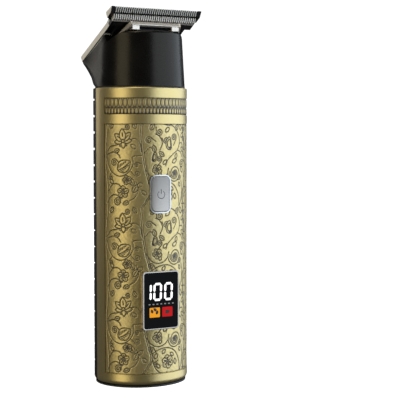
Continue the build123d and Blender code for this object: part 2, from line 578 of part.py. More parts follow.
cam = cam - block(-5, 5, MOTOR_Y + 2.2, MOTOR_Y + 5, DECK_TOP, CAM_TOP)
cam = cam - rod(0, MOTOR_Y, SHAFT_RADIUS, DECK_TOP, CAM_TOP - 0.2)
save(cam, "eccentric_cam")

# ---- cutter guide, tension bracket --------------------------------------------------------------
guide_top = CUTTER_BOTTOM_N - GAP
guide = slope_block(-10.2, 10.2, 9.2, PLATE_START - SEAM, POCKET_N, guide_top)
guide = guide - slope_block(-7.4, 7.4, 11.6, 20, -10, 0)
guide = guide - block(-FAR, FAR, -FAR, -10.6, 0, TIP_HEIGHT)
save(guide, "cutter_guide")
BRACKET_HALF = 11.6
ARM_SPLAY = 17.0            # outward turn of the bracket's arms, degrees
bar = block(-BRACKET_HALF, BRACKET_HALF, 4.4, 5.9, -5.4, -3.75)
bar = fillet(bar.edges().filter_by(Axis.X), 0.3)
arm_profile = [(0.2, -3.75), (0.2, -5.6), (1.6, -5.7), (11.6, -5.5), (11.6, -4.9)]
arm = Pos(BRACKET_HALF - 0.9, 4.3, 0) * Rot(0, 0, -ARM_SPLAY) * side_profile(arm_profile, 0, 0.9)
bracket = in_blade(bar + mirrored(arm))
foot = block(BRACKET_SCREW_X - 1.6, BRACKET_SCREW_X + 1.6, -14.8, -11.9, HEAD_TOP, HEAD_TOP + 0.5)
foot = foot + block(BRACKET_SCREW_X - 1.6, BRACKET_SCREW_X + 1.6, -15.0, -14.4, HEAD_TOP, HEAD_TOP + 2.4)
foot = foot - rod(BRACKET_SCREW_X, BRACKET_SCREW_Y, 0.8, HEAD_TOP - 1, HEAD_TOP + 0.8)
bracket = bracket + mirrored(foot)
save(bracket, "tension_bracket")
bracket_screws = []
for x in (-BRACKET_SCREW_X, BRACKET_SCREW_X):
    screw = rod(x, BRACKET_SCREW_Y, 1.3, HEAD_TOP + 0.5, HEAD_TOP + 1.1)
    bracket_screws.append(screw + rod(x, BRACKET_SCREW_Y, 0.7, HEAD_TOP - 4.8, HEAD_TOP + 0.5))
save(group(bracket_screws), "bracket_screws")
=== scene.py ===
import math

import bpy
import numpy as np
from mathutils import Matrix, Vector


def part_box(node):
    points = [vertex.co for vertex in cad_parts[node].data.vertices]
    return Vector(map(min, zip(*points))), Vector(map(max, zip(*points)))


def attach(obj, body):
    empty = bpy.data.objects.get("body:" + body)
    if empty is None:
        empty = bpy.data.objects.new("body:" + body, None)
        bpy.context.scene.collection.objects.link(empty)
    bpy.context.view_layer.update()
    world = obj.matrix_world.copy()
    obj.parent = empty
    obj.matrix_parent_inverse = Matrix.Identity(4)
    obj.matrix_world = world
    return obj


bl_info = {
    "name": "Beard Trimmer Looks",
    "version": (1, 0, 0),
    "blender": (4, 5, 0),
    "location": "3D View > Sidebar > Trimmer",
    "description": "Engraving, lit figures and finishes for a cordless T-blade trimmer",
    "category": "Object",
}

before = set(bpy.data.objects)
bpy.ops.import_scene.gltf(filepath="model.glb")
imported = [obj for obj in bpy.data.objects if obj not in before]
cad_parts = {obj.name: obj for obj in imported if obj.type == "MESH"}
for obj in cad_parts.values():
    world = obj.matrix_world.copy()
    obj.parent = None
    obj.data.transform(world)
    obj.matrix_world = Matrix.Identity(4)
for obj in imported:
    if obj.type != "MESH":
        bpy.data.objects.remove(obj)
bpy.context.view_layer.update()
MM = 0.001


def node_box(name):
    """The lowest and highest corners of a CAD node, in millimetres."""
    low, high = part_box(name)
    return np.array(low) / MM, np.array(high) / MM


CASING_LOW, CASING_HIGH = node_box("front_casing")
BEZEL_LOW, BEZEL_HIGH = node_box("display_bezel")
LENS_LOW, LENS_HIGH = node_box("display_lens")
RIM_LOW, RIM_HIGH = node_box("button_bezel")
BLADE_LOW, BLADE_HIGH = node_box("fixed_blade")
BUTTON_FACE = node_box("power_button")[0][1]
BUTTON_MIDDLE = (RIM_LOW[2] + RIM_HIGH[2]) / 2

# The oval body, in millimetres.
HALF_WIDTH = CASING_HIGH[0]
HALF_DEPTH = -CASING_LOW[1]
CASING_TOP = CASING_HIGH[2]

# The blades: the teeth's pitch, half a tooth's land, half the toothed row, and, along the slope from the
# front edge, where the slots of each blade end and where the cutter's back begins.
BLADE_SLOPE = math.radians(30.0)
TOOTH_PITCH = 0.986
TOOTH_LAND = 0.2
TOOTH_SPAN = 19.2
FIXED_SLOTS = 5.3
CUTTER_SLOTS = 5.7
CUTTER_BACK = 6.1
# Heights square to the slope, from the blade's top front edge.
BEVEL_RISE = 0.578
BEVEL_FOOT = 0.12
SKIN_RISE = 0.9
FIXED_UNDER = -1.46
CUTTER_UNDER = -1.6
MOUNT_UNDER = -2.22
# The black of the painted shade in the blades' slots, under the blades and the plate, and at the bevel's end
# corners.
PAINTED_SHADE_BLACK = (0.01, 0.01, 0.011)

# The engraved skins: the gap to a recess's wall, the least and greatest depth, the foot of the turned-down
# sides, and how far the skin goes under the display's and the button's rims.
SEAM = 0.18
SKIN_TOP, SKIN_FLOOR, WALL_FOOT = 0.02, 0.48, 0.5
BEZEL_LAP, RIM_LAP = 0.2, 0.25

# Lamps: name, bearing from the camera in degrees, height, distance, width, length (metres), watts, colour.
LAMPS = (
    ("key", 88.0, 0.16, 0.75, 1.6, 1.0, 9.2, (0.78, 0.89, 1.0)),
    ("rim", -122.0, 0.3, 0.8, 0.3, 0.5, 0.45, (1.0, 0.96, 0.9)),
    ("fill", -38.0, 0.12, 0.8, 0.46, 0.9, 2.2, (1.0, 0.92, 0.64)),
    ("front", -5.0, 0.95, 0.7, 0.3, 0.3, 1.9, (1.0, 0.9, 0.6)),
    ("back", 170.0, 0.75, 0.9, 0.7, 0.4, 2.2, (1.0, 1.0, 1.0)),
    ("top", 0.0, 1.2, 0.15, 0.8, 0.8, 2.5, (1.0, 1.0, 1.0)),
)
LAMP_AIM = (0, 0, 0.08)
SKY_COLOUR, SKY_STRENGTH = (0.9, 0.92, 0.95, 1.0), 0.09
FLOOR_REACH, FLOOR_BEND, FLOOR_TOP, FLOOR_GLOW = 1.3, 0.5, 2.6, 0.9

# The display: each lit bar's place in a figure, in half widths and half heights, and whether it stands. Rows
# and columns run 0 to 1 from the lens's upper left corner, sizes are in millimetres.
BAR_SPOTS = {
    "a": (0, 1, 0), "b": (1, 0.5, 1), "c": (1, -0.5, 1), "d": (0, -1, 0),
    "e": (-1, -0.5, 1), "f": (-1, 0.5, 1), "g": (0, 0, 0),
}
FIGURES = ((0.195, "bc"), (0.4, "abcdef"), (0.72, "abcdef"))
FIGURE_ROW, FIGURE_WIDTH, FIGURE_HEIGHT, FIGURE_BAR, FIGURE_SLANT = 0.345, 3.1, 6.7, 0.95, 0.03
TICK_ROW, TICK_START, TICK_STEP, TICK_COUNT = 0.565, 0.16, 0.115, 7
TICK_HALF_WIDTH, TICK_HALF_HEIGHT = 0.42, 0.22
TILE_TOP, TILE_FOOT, TILE_CORNER = 0.625, 0.8, 0.35
DROPS = ((-0.35, -0.1, 0.5), (0.3, -0.35, -0.4), (0.35, 0.25, 0.9))
FIGURE_PROUD, FIGURE_THICK = 0.03, 0.02
MARK_PROUD, MARK_THICK = 0.015, 0.012

# The power symbol: the ring's radius, its open half angle, and the bar's ends above the button's middle.
RING_RADIUS, RING_OPEN, RING_DROP = 1.65, 32, 0.2
BAR_FOOT, BAR_HEAD, BEAD_RADIUS, BEAD_SINK = 0.1, 2.2, 0.2, 0.1


# ---- settings ----------------------------------------------------------------------------------
def size_prop(name, text, default, **more):
    return bpy.props.FloatProperty(name=name, description=text, default=default, **more)


def triple_prop(name, text, default, **more):
    return bpy.props.FloatVectorProperty(name=name, description=text, default=default, size=3, **more)


def colour_prop(name, text, default):
    return triple_prop(name, text, default, subtype="COLOR", min=0.0, max=1.0)


class TrimmerEngraving(bpy.types.PropertyGroup):
    panel_low: size_prop("Panel bottom", "Lower edge of the large panel, mm", 5.5)
    panel_high: size_prop("Panel top", "Upper edge of the large panel, mm", CASING_TOP - 15.2)
    band_low: size_prop("Band bottom", "Lower edge of the narrow band, mm", CASING_TOP - 11.6)
    band_high: size_prop("Band top", "Upper edge of the narrow band, mm", CASING_TOP - 4.3)
    reach: size_prop("Reach", "Half angle of the panels", math.radians(73.96), subtype="ANGLE")
    cell: size_prop("Cell", "Spacing of the relief's points, mm", 0.2)
    line: size_prop("Line width", "Half width of an engraved line, mm", 0.155)
    depth: size_prop("Depth", "Depth of an engraved line, mm", 0.26)
    face: size_prop("Face", "Depth of the panels' face under the casing's rings, mm", 0.12)
    repeats: bpy.props.IntProperty(name="Repeats", description="Pattern repeats up the panel", default=3)


class TrimmerColours(bpy.types.PropertyGroup):
    brass: colour_prop("Brass", "Worn brass", (0.71, 0.58, 0.3))
    brass_deep: colour_prop("Deep brass", "Aged brass", (0.58, 0.44, 0.13))
    # Patina in the lines; the same colour is the painted shade along the engraved skins' edges and seams.
    patina: colour_prop("Patina", "Dark patina in the lines", (0.03, 0.02, 0.01))
    figure: colour_prop("Figures", "Lit figures", (1.0, 1.0, 1.0))
    amber: colour_prop("Amber tile", "Amber tile on the display", (0.92, 0.36, 0.01))
    red: colour_prop("Red tile", "Red tile on the display", (0.56, 0.004, 0.006))


class TrimmerStage(bpy.types.PropertyGroup):
    lens: size_prop("Lens", "Focal length", 103.2, unit="CAMERA")
    camera: triple_prop("Camera", "Camera place", (-0.2236, -0.448, 0.1062), unit="LENGTH")
    turn: size_prop("Turn", "Camera heading", math.radians(29.5), subtype="ANGLE")
    tilt: size_prop("Tilt", "How far the camera looks down", math.radians(3.14), subtype="ANGLE")


# ---- shader writing ----------------------------------------------------------------------------
class Sock:
    """A number socket that adds a Math node for each operator."""

    def __init__(self, maker, link):
        self.maker, self.link = maker, link

    def math(self, operation, *others, **extra):
        values = [self.link] + [getattr(o, "link", o) for o in others]
        node = self.maker.node("Math", dict(enumerate(values)), operation=operation, **extra)
        return Sock(self.maker, node.outputs[0])

    def __add__(self, other):
        return self.math("ADD", other)

    def __mul__(self, other):
        return self.math("MULTIPLY", other)

    def __sub__(self, other):
        return self.math("SUBTRACT", other)

    def __rsub__(self, other):
        return (self * -1.0) + other

    def clip(self):
        return self.math("ADD", 0.0, use_clamp=True)

    def above(self, edge, soft):
        """0 under edge - soft, 1 over edge + soft, and a straight ramp between."""
        return ((self - (edge - soft)) * (0.5 / soft)).clip()

    __radd__, __rmul__ = __add__, __mul__


class Maker:
    """Builds one material from typed nodes."""

    def __init__(self, name):
        old = bpy.data.materials.get(name)
        self.material = old or bpy.data.materials.new(name)
        self.material.use_nodes = True
        self.tree = self.material.node_tree
        self.tree.nodes.clear()
        self.shader = self.node("BsdfPrincipled")
        out = self.node("OutputMaterial")
        self.tree.links.new(self.shader.outputs[0], out.inputs["Surface"])

    def node(self, kind, values=None, **settings):
        """Adds a node, sets its settings first, then the values or links of its sockets."""
        node = self.tree.nodes.new("ShaderNode" + kind)
        for key, value in settings.items():
            setattr(node, key, value)
        for key, value in (values or {}).items():
            self.feed(node.inputs[key], value)
        return node

    def feed(self, socket, value):
        value = getattr(value, "link", value)
        if isinstance(value, bpy.types.NodeSocket):
            self.tree.links.new(value, socket)
        elif socket.type == "RGBA" and len(value) == 3:
            socket.default_value = (*value, 1.0)
        else:
            socket.default_value = value

    def place(self, scale, turn=(0.0, 0.0, 0.0)):
        """The object coordinates, scaled and turned."""
        place = self.node("TexCoord").outputs["Object"]
        return self.node("Mapping", {"Vector": place, "Scale": scale, "Rotation": turn}).outputs[0]

    def axes(self):
        """The object coordinates in millimetres, as three numbers."""
        split = self.node("SeparateXYZ", {0: self.place((1 / MM,) * 3)})
        return [Sock(self, split.outputs[i]) for i in range(3)]

    def noise(self, per_mm, detail=3.0, stretch=(1.0, 1.0, 1.0), turn=(0.0, 0.0, 0.0)):
        """Noise with features about 1 / per_mm millimetres across."""
        scale = tuple(per_mm / MM * s for s in stretch)
        values = {"Vector": self.place(scale, turn), "Scale": 1.0, "Detail": detail}
        return Sock(self, self.node("TexNoise", values).outputs[0])

    def attribute(self, name):
        return Sock(self, self.node("Attribute", attribute_name=name).outputs["Fac"])

    def mix(self, factor, low, high):
        return self.node("Mix", {"Factor": factor, 6: low, 7: high}, data_type="RGBA").outputs[2]

    def bump(self, height, strength, distance):
        values = {"Height": height, "Strength": strength, "Distance": distance}
        return self.node("Bump", values).outputs[0]

    def set(self, **values):
        for key, value in values.items():
            self.feed(self.shader.inputs[key.replace("_", " ")], value)
        return self.material


def grey(value):
    return (value, value, value)


def plain_finish(name, low, high, rough, metal=0.0, grain=4.0, relief=0.15, coat=0.0, **more):
    """A moulded or rolled finish: patchy colour, uneven gloss and a fine grain."""
    m = Maker(name)
    patches = m.noise(0.15)
    fine = m.noise(grain, detail=2.0)
    m.set(
        Base_Color=m.mix(patches, low, high),
        Roughness=(rough + (patches - 0.5) * 0.14 + (fine - 0.5) * 0.1).clip(),
        Metallic=metal,
        Coat_Weight=coat,
        Normal=m.bump(fine, relief, 0.00005),
    )
    return m.set(**more)


def brushed_finish(name, low, high, rough, stretch, turn=(0.0, 0.0, 0.0), relief=0.2, metal=1.0):
    """Ground metal: long fine lines in the colour, the gloss and the surface."""
    m = Maker(name)
    lines = m.noise(7.0, detail=3.0, stretch=stretch, turn=turn)
    patches = m.noise(0.2)
    return m.set(
        Base_Color=m.mix((lines * 0.6 + patches * 0.4).clip(), low, high),
        Roughness=(rough + (lines - 0.5) * 0.3 + (patches - 0.5) * 0.1).clip(),
        Metallic=metal,
        Normal=m.bump(lines, relief, 0.00003),
    )


def brass_finish(name, colours, engraved):
    """Aged brass: olive patches, satin gloss, and, where the attribute says so, dark patina in the lines with
    painted shade along the recess edges and seams.
    """
    m = Maker(name)
    patches = m.noise(0.09, detail=4.0)
    fine = m.noise(2.2, detail=3.0)
    colour = m.mix((patches * 0.7 + fine * 0.3).clip(), tuple(colours.brass_deep), tuple(colours.brass))
    rough = 0.4 + (patches - 0.5) * 0.1 + (fine - 0.5) * 0.08
    metal = 0.94
    height = fine
    if engraved:
        dark = m.attribute("patina")
        speck = m.noise(1.1, detail=4.0)
        dark = (dark * (0.88 + speck * 0.4)).clip()
        colour = m.mix(dark, colour, tuple(colours.patina))
        rough = rough + 0.04 + dark * 0.35
        metal = (0.94 - dark * 1.1).clip()
        height = fine * 0.5 + m.noise(0.7, detail=2.0) * 0.8
    return m.set(
        Base_Color=colour, Roughness=rough, Metallic=metal, Coat_Weight=0.8, Coat_Roughness=0.34,
        Normal=m.bump(height, 0.25 if engraved else 0.08, 0.00012 if engraved else 0.00004),
    )


def blade_finish(name, bevelled):
    """Ground steel with painted shade by place on the blade: dark slot edges on the teeth and, on the
    bevelled blade, black end corners on the bevel and a black underside; on the cutter, painted shade above
    its under level and past its back."""
    m = Maker(name)
    x, y, z = m.axes()
    back = y - BLADE_LOW[1]
    down = z - BLADE_HIGH[2]
    along = back * math.cos(BLADE_SLOPE) - down * math.sin(BLADE_SLOPE)
    out = back * math.sin(BLADE_SLOPE) + down * math.cos(BLADE_SLOPE)
    aside = x.math("ABSOLUTE")
    phase = 0.5 if bevelled else 0.0
    tooth = ((x * (1 / TOOTH_PITCH) + phase).math("FRACT") - 0.5).math("ABSOLUTE") * TOOTH_PITCH
    land = 1 - tooth.above(TOOTH_LAND, 0.05)
    lines = m.noise(3.0, stretch=(1.0, 0.2, 0.2))
    patches = m.noise(0.3)
    tone = (lines * 0.5 + patches * 0.5).clip()
    if bevelled:
        bevel = 1 - (out + along * BEVEL_RISE).above(BEVEL_FOOT, 0.06)
        under = 1 - out.above(FIXED_UNDER, 0.03)
        corner = aside.above(TOOTH_SPAN, 0.15)
        outside = aside.above(BLADE_HIGH[0] - 0.05, 0.02)
        front = 1 - along.above(FIXED_SLOTS, 0.1)
        # Painted shade: dark in the slots between the teeth, black at the bevel's end corners and under the
        # blade.
        dark = ((front * (1 - land) + bevel * corner + under).clip() * (1 - outside)).clip()
        skin = out.above(SKIN_RISE, 0.1) * along.above(FIXED_SLOTS, 0.2)
        edges = m.mix(tone, (0.84, 0.81, 0.76), (1.0, 0.97, 0.91))
        steel = m.mix(skin, edges, m.mix(tone, (0.46, 0.46, 0.45), (0.62, 0.62, 0.61)))
        metal = skin * 0.6 + 0.25
    else:
        front = 1 - along.above(CUTTER_SLOTS, 0.1)
        back_edge = along.above(CUTTER_BACK, 0.2)
        # Painted shade: dark in the slots, above the cutter's under level and past its back edge.
        dark = (front * (1 - land) * 0.6 + out.above(CUTTER_UNDER, 0.02) + back_edge).clip()
        steel = m.mix(tone, (0.82, 0.77, 0.71), (0.97, 0.92, 0.86))
        metal = 0.4
    return m.set(
        Base_Color=m.mix(dark, steel, PAINTED_SHADE_BLACK),
        Roughness=(0.38 + (lines - 0.5) * 0.16).clip(),
        Metallic=(metal - dark * metal).clip(),
        Specular_IOR_Level=0.3,
        Normal=m.bump(lines, 0.12, 0.00002),
    )


def mount_finish(name):
    """Steel edges round a lower face painted black as shade, by place on the plate."""
    m = Maker(name)
    _, y, z = m.axes()
    out = (y - BLADE_LOW[1]) * math.sin(BLADE_SLOPE) + (z - BLADE_HIGH[2]) * math.cos(BLADE_SLOPE)
    # Painted shade: the plate's lower face is made black.
    under = 1 - out.above(MOUNT_UNDER, 0.04)
    lines = m.noise(4.0, stretch=(1.0, 0.15, 0.15))
    steel = m.mix(lines, (0.74, 0.74, 0.73), (0.9, 0.9, 0.89))
    return m.set(
        Base_Color=m.mix(under, steel, PAINTED_SHADE_BLACK),
        Roughness=(0.4 + (lines - 0.5) * 0.16).clip(),
        Metallic=(0.25 - under * 0.25).clip(),
        Normal=m.bump(lines, 0.12, 0.00002),
    )


def button_finish(name):
    """Satin silver lacquer with painted shade: darker at the top, paler towards the bottom, with a painted
    darker edge at each side.
    """
    m = Maker(name)
    x, _, z = m.axes()
    rise = ((z - RIM_LOW[2]) * (1 / (RIM_HIGH[2] - RIM_LOW[2]))).clip()
    fine = m.noise(5.0, detail=2.0)
    # Painted shade: the face darkens from the bottom to the top.
    body = m.mix(rise, (0.54, 0.505, 0.475), (0.3, 0.28, 0.265))
    # Painted shade: a bluish darker edge at each side.
    side = x.math("ABSOLUTE").above(3.7, 0.5)
    return m.set(
        Base_Color=m.mix((side * 0.35 + (fine - 0.5) * 0.1).clip(), body, (0.16, 0.18, 0.21)),
        Roughness=(0.36 + (fine - 0.5) * 0.12).clip(),
        Metallic=0.55,
        Normal=m.bump(fine, 0.08, 0.00003),
    )


def glass_finish(name):
    """A dark glossy window with faint haze and a painted sheen that grows paler towards one edge."""
    m = Maker(name)
    haze = m.noise(0.12, detail=4.0)
    painted_sheen = ((m.axes()[0] + LENS_HIGH[0]) * (0.5 / LENS_HIGH[0])).clip()
    # The haze and the painted sheen together pale the window.
    pale = (painted_sheen * 0.4 + haze * 0.4).clip()
    return m.set(
        Base_Color=m.mix(pale, (0.0005, 0.0005, 0.0006), (0.003, 0.003, 0.0035)),
        Roughness=(0.12 + (haze - 0.5) * 0.08).clip(),
        Specular_IOR_Level=0.05,
    )


def lit_finish(name, colour, strength):
    """A lit figure, a little uneven as a diffuser is."""
    m = Maker(name)
    haze = m.noise(0.6)
    pale = tuple(min(1.0, c * 1.04) for c in colour)
    deep = tuple(c * 0.86 for c in colour)
    return m.set(
        Base_Color=m.mix(haze, grey(0.004), grey(0.01)),
        Roughness=0.6,
        Emission_Color=m.mix(haze, deep, pale),
        Emission_Strength=strength,
        Specular_IOR_Level=0.1,
    )


# Moulded pieces: material, darkest and palest colour, roughness, metal, grain, relief, coat.
MOULDED = {
    "bottom_cap": ("foot_plastic", grey(0.01), grey(0.018), 0.55, 0.0, 4.0, 0.3),
    "head_seal": ("seal_rubber", grey(0.01), grey(0.02), 0.7, 0.0, 4.0, 0.4),
    "display_module": ("display_black", (0.012, 0.012, 0.013), (0.02, 0.02, 0.022), 0.3),
    "cutter_driver": ("driver_plastic", (0.02, 0.02, 0.023), (0.045, 0.045, 0.05), 0.5),
    "cutter_guide": ("guide_plastic", (0.01, 0.01, 0.012), (0.02, 0.02, 0.022), 0.45),
    "motor_end_cap": ("endcap_plastic", (0.58, 0.56, 0.5), (0.72, 0.7, 0.63), 0.5),
    "motor_magnets": ("ferrite", (0.03, 0.03, 0.032), (0.07, 0.07, 0.075), 0.6),
    "motor_bushes": ("bronze", (0.4, 0.25, 0.11), (0.58, 0.38, 0.18), 0.4, 0.9),
    "motor_brushes": ("carbon", grey(0.02), grey(0.05), 0.6),
    "eccentric_cam": ("cam_plastic", (0.55, 0.53, 0.48), (0.7, 0.68, 0.62), 0.45),
    "inner_frame": ("frame_plastic", (0.06, 0.06, 0.065), (0.11, 0.11, 0.12), 0.5, 0.0, 4.0, 0.3),
    "battery_cell": ("cell_wrap", (0.03, 0.16, 0.34), (0.06, 0.24, 0.46), 0.3, 0.0, 4.0, 0.15, 0.3),
    "foam_pad": ("foam_grey", grey(0.05), grey(0.13), 0.9, 0.0, 3.0, 0.9),
    "main_board": ("board_green", (0.01, 0.1, 0.04), (0.02, 0.19, 0.08), 0.3, 0.0, 4.0, 0.15, 0.5),
    "board_components": ("component_black", (0.015, 0.015, 0.016), grey(0.04), 0.5),
    "push_switch": ("switch_black", grey(0.02), grey(0.045), 0.45),
    "socket_tongue": ("tongue_black", grey(0.01), grey(0.03), 0.45),
}
# Ground metal pieces: material, darkest and palest colour, roughness, stretch of the lines.
GROUND = {
    "display_bezel": ("rim_metal", (0.36, 0.32, 0.29), (0.54, 0.49, 0.45), 0.3, (0.3, 1, 1)),
    "button_bezel": ("button_rim", grey(0.5), (0.68, 0.68, 0.67), 0.3, (1, 1, 0.3)),
    "motor_can": ("motor_zinc", (0.45, 0.46, 0.47), (0.68, 0.69, 0.7), 0.32, (1, 1, 0.1)),
    "motor_shaft": ("shaft_steel", (0.5, 0.5, 0.52), (0.75, 0.75, 0.76), 0.2, (1, 1, 6)),
    "armature_core": ("lamination", (0.22, 0.23, 0.24), (0.42, 0.43, 0.44), 0.45, (0.1, 0.1, 2)),
    "armature_windings": ("copper", (0.45, 0.17, 0.06), (0.72, 0.33, 0.14), 0.3, (0.2, 0.2, 1.5)),
    "commutator": ("commutator_copper", (0.5, 0.22, 0.1), (0.72, 0.38, 0.2), 0.3, (1, 1, 0.2)),
    "motor_plate": ("motor_plate_steel", (0.45, 0.45, 0.46), (0.66, 0.66, 0.67), 0.35, (1, 0.1, 1)),
    "battery_tabs": ("nickel", (0.5, 0.48, 0.43), (0.7, 0.68, 0.62), 0.3, (0.2, 1, 1)),
    "charge_socket": ("socket_steel", (0.45, 0.45, 0.46), grey(0.7), 0.28, (0.2, 1, 1)),
}
SCREWED = ("blade", "bracket", "motor", "head", "board", "bottom")


def dress(name, material):
    """Gives a CAD node its finish in every slot."""
    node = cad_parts[name]
    slots = node.data.materials
    if not len(slots):
        slots.append(material)
    for index in range(len(slots)):
        slots[index] = material


def show(name, data):
    """An object of the scene that holds the data."""
    thing = bpy.data.objects.new(name, data)
    bpy.context.scene.collection.objects.link(thing)
    return thing


# ---- surfaces ----------------------------------------------------------------------------------
def make_piece(name, points, faces, material, body, smooth=True, values=None):
    """A mesh from points in millimetres and an array or list of faces, placed on a body."""
    mesh = bpy.data.meshes.new(name)
    mesh.from_pydata((np.asarray(points) * MM).tolist(), [], [list(f) for f in faces])
    mesh.validate()
    mesh.polygons.foreach_set("use_smooth", np.full(len(mesh.polygons), smooth))
    for key, data in (values or {}).items():
        layer = mesh.attributes.new(key, "FLOAT", "POINT")
        layer.data.foreach_set("value", np.asarray(data, dtype=np.float32))
    mesh.materials.append(material)
    piece = show(name, mesh)
    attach(piece, body)
    return piece


def grid_faces(rows, columns):
    """Quads of a grid whose points are stored row by row."""
    start = np.arange(rows - 1)[:, None] * columns + np.arange(columns - 1)[None, :]
    quads = np.stack([start, start + 1, start + columns + 1, start + columns], axis=-1)
    return quads.reshape(-1, 4)


def tube_faces(rings, sides):
    """Quads between closed rings of points that are stored ring by ring."""
    ring_start = np.arange(rings - 1)[:, None] * sides
    here = ring_start + np.arange(sides)
    after = ring_start + np.roll(np.arange(sides), -1)
    return np.stack([here, here + sides, after + sides, after], axis=-1).reshape(-1, 4).tolist()


def oval_point(turn, rise, inset):
    """A point on the body's oval: the turn from the front, the height, and how far under the face."""
    return np.stack(
        [(HALF_WIDTH - inset) * np.sin(turn), -(HALF_DEPTH - inset) * np.cos(turn), rise + 0 * turn], axis=-1
    )


def oval_length(reach):
    """Equal steps of turn round the front, and the arc length from the front centre to each: the sum of the
    oval's speed over the turn."""
    turn = np.linspace(-reach, reach, 1600)
    speed = np.hypot(HALF_WIDTH * np.cos(turn), HALF_DEPTH * np.sin(turn))
    length = np.concatenate([[0.0], np.cumsum((speed[1:] + speed[:-1]) / 2 * np.diff(turn))])
    length -= length[-1] / 2
    return turn, length


def relief(name, low, high, reach, cell, height, material, holes, face, walled=(True, True)):
    """A skin over the oval body. Each grid point stands at the body's face less the depth given by
    height(along, rise). The skin's sides, and its lower and upper edges where walled says so, turn down to
    the recess floor. Cells in holes are left out."""
    turn, length = oval_length(reach)
    along = np.linspace(length[0], length[-1], int((length[-1] - length[0]) / cell) + 1)
    rise = np.linspace(low, high, int((high - low) / cell) + 1)
    angle = np.interp(along, length, turn)
    depth, dark = height(along[None, :] + 0 * rise[:, None], rise[:, None] + 0 * along[None, :])
    depth = np.clip(depth + face, SKIN_TOP, SKIN_FLOOR)
    wall = np.zeros_like(depth, dtype=bool)
    wall[[row for row, edge in ((0, walled[0]), (-1, walled[1])) if edge], :] = True
    wall[:, [0, -1]] = True
    depth[wall] = WALL_FOOT
    # The turned-down walls are painted fully dark: painted shade in the seam round the skin.
    dark[wall] = 1.0
    spots = oval_point(angle[None, :] + 0 * depth, rise[:, None] + 0 * depth, depth)
    faces = grid_faces(len(rise), len(along))
    middle = spots.reshape(-1, 3)[faces].mean(axis=1)
    keep = np.ones(len(faces), dtype=bool)
    for x0, x1, z0, z1 in holes:
        inside = (middle[:, 0] > x0) & (middle[:, 0] < x1) & (middle[:, 2] > z0) & (middle[:, 2] < z1)
        keep &= ~inside
    faces = faces[keep]
    used = np.unique(faces)
    back = np.zeros(depth.size, dtype=int)
    back[used] = np.arange(len(used))
    return make_piece(
        name, spots.reshape(-1, 3)[used], back[faces], material, "trimmer",
        values={"patina": dark.reshape(-1)[used]},
    )


# ---- engraved motifs: each is a list of lines, a line being an array of points in millimetres ----
# The scrolls, in tenths of a millimetre, of a radian and of a turn. Stems are the points of smooth lines.
# Curls are x, y, radius, turns, lean and tail. Leaves are x, y, lean, length and width.
COLUMN_STEMS = (
    ((-79, 233), (-61, 256), (-31, 263), (2, 273)),
    ((16, 276), (49, 290), (72, 272), (80, 234)),
    ((-79, 223), (-46, 234), (-20, 222), (-12, 209)),
    ((-79, 216), (-72, 180), (-49, 146), (-12, 132), (24, 148), (45, 184), (43, 213), (79, 218)),
    ((-74, 62), (-52, 96), (-24, 99), (-6, 84)),
    ((-79, 16), (-60, 46), (-34, 54), (-14, 40), (-12, 20)),
    ((29, 29), (52, 44), (66, 76), (56, 110)),
)
COLUMN_CURLS = (
    (-42, 190, 15, 19, 5, 20), (-26, 24, 16, 19, 12, 16), (60, 144, 12, 17, 36, 18),
    (-59, 124, 10, 16, 22, 14), (19, 339, 11, 17, 42, 12), (59, 180, 9, 16, 10, 16),
)
COLUMN_LEAVES = (
    (-42, 234, -12, 24, 13), (46, 94, 5, 32, 17), (44, 64, -5, 32, 16), (63, 88, -9, 22, 12),
    (26, 24, 19, 24, 13), (-49, 100, 6, 20, 11), (57, 250, 10, 23, 12), (56, 332, 4, 24, 13),
    (-62, 334, -6, 24, 13),
)
FIELD_STEMS = (
    ((27, 360), (75, 338), (105, 303), (109, 270), (94, 242), (64, 223), (36, 200), (25, 176)),
    ((-66, 158), (-44, 128), (-12, 117), (18, 126), (34, 142)),
    ((-40, 89), (-6, 106), (39, 108), (79, 86), (102, 46), (107, 2)),
    ((-40, 89), (-36, 46), (-17, 14), (16, -4), (50, -9)),
    ((107, 2), (124, 36), (129, 80), (122, 112)),
    ((-4, 242), (8, 272), (-6, 300), (-26, 310)),
    ((-74, 226), (-52, 252), (-36, 246)),
    ((109, 270), (129, 272), (139, 252)),
    ((94, 242), (120, 232), (132, 212)),
)
FIELD_CURLS = (
    (-54, 283, 14, 19, 6, 22), (-5, 318, 15, 19, 29, 16), (72, 296, 15, 20, 54, 24),
    (27, 284, 13, 18, 34, 14), (-46, 106, 12, 18, 2, 16), (129, 183, 17, 20, 9, 20),
    (-24, 42, 10, 16, 18, 12), (109, 126, 10, 16, 44, 12), (-7, 203, 12, 18, 52, 16),
)
FIELD_LEAVES = (
    (62, 189, -11, 26, 12), (16, 216, 9, 26, 13), (82, 326, -6, 26, 13), (43, 337, 24, 23, 12),
    (-46, 326, -5, 28, 14), (-26, 234, 3, 26, 13), (-64, 54, 9, 24, 11), (-30, 66, -4, 22, 11),
    (122, 326, 4, 26, 12), (124, 296, -7, 22, 11), (134, 146, 5, 26, 12), (6, 86, -7, 20, 10),
    (79, 34, 2, 22, 11), (66, 72, 9, 20, 10), (-6, 26, 8, 20, 10), (112, 86, 4, 18, 9), (12, 182, -8, 22, 11),
    (-6, 129, -2, 18, 9), (82, 206, -3, 20, 10),
)


def turned(line, x, y, turn=0.0, size=1.0, flip=1.0):
    c, s = math.cos(turn), math.sin(turn)
    px, py = line[:, 0] * size * flip, line[:, 1] * size
    return np.stack([x + px * c - py * s, y + px * s + py * c], axis=1)


def petal(length, width, steps=26):
    """A pointed petal: its half width follows sin(pi t) ** 0.8, leaning to the root, over its length."""
    t = np.linspace(0, 1, steps)
    half = width / 2 * np.sin(math.pi * t ** 0.85) ** 0.8
    side = np.stack([half, t * length], axis=1)
    return np.concatenate([side, (side * [-1, 1])[::-1]])


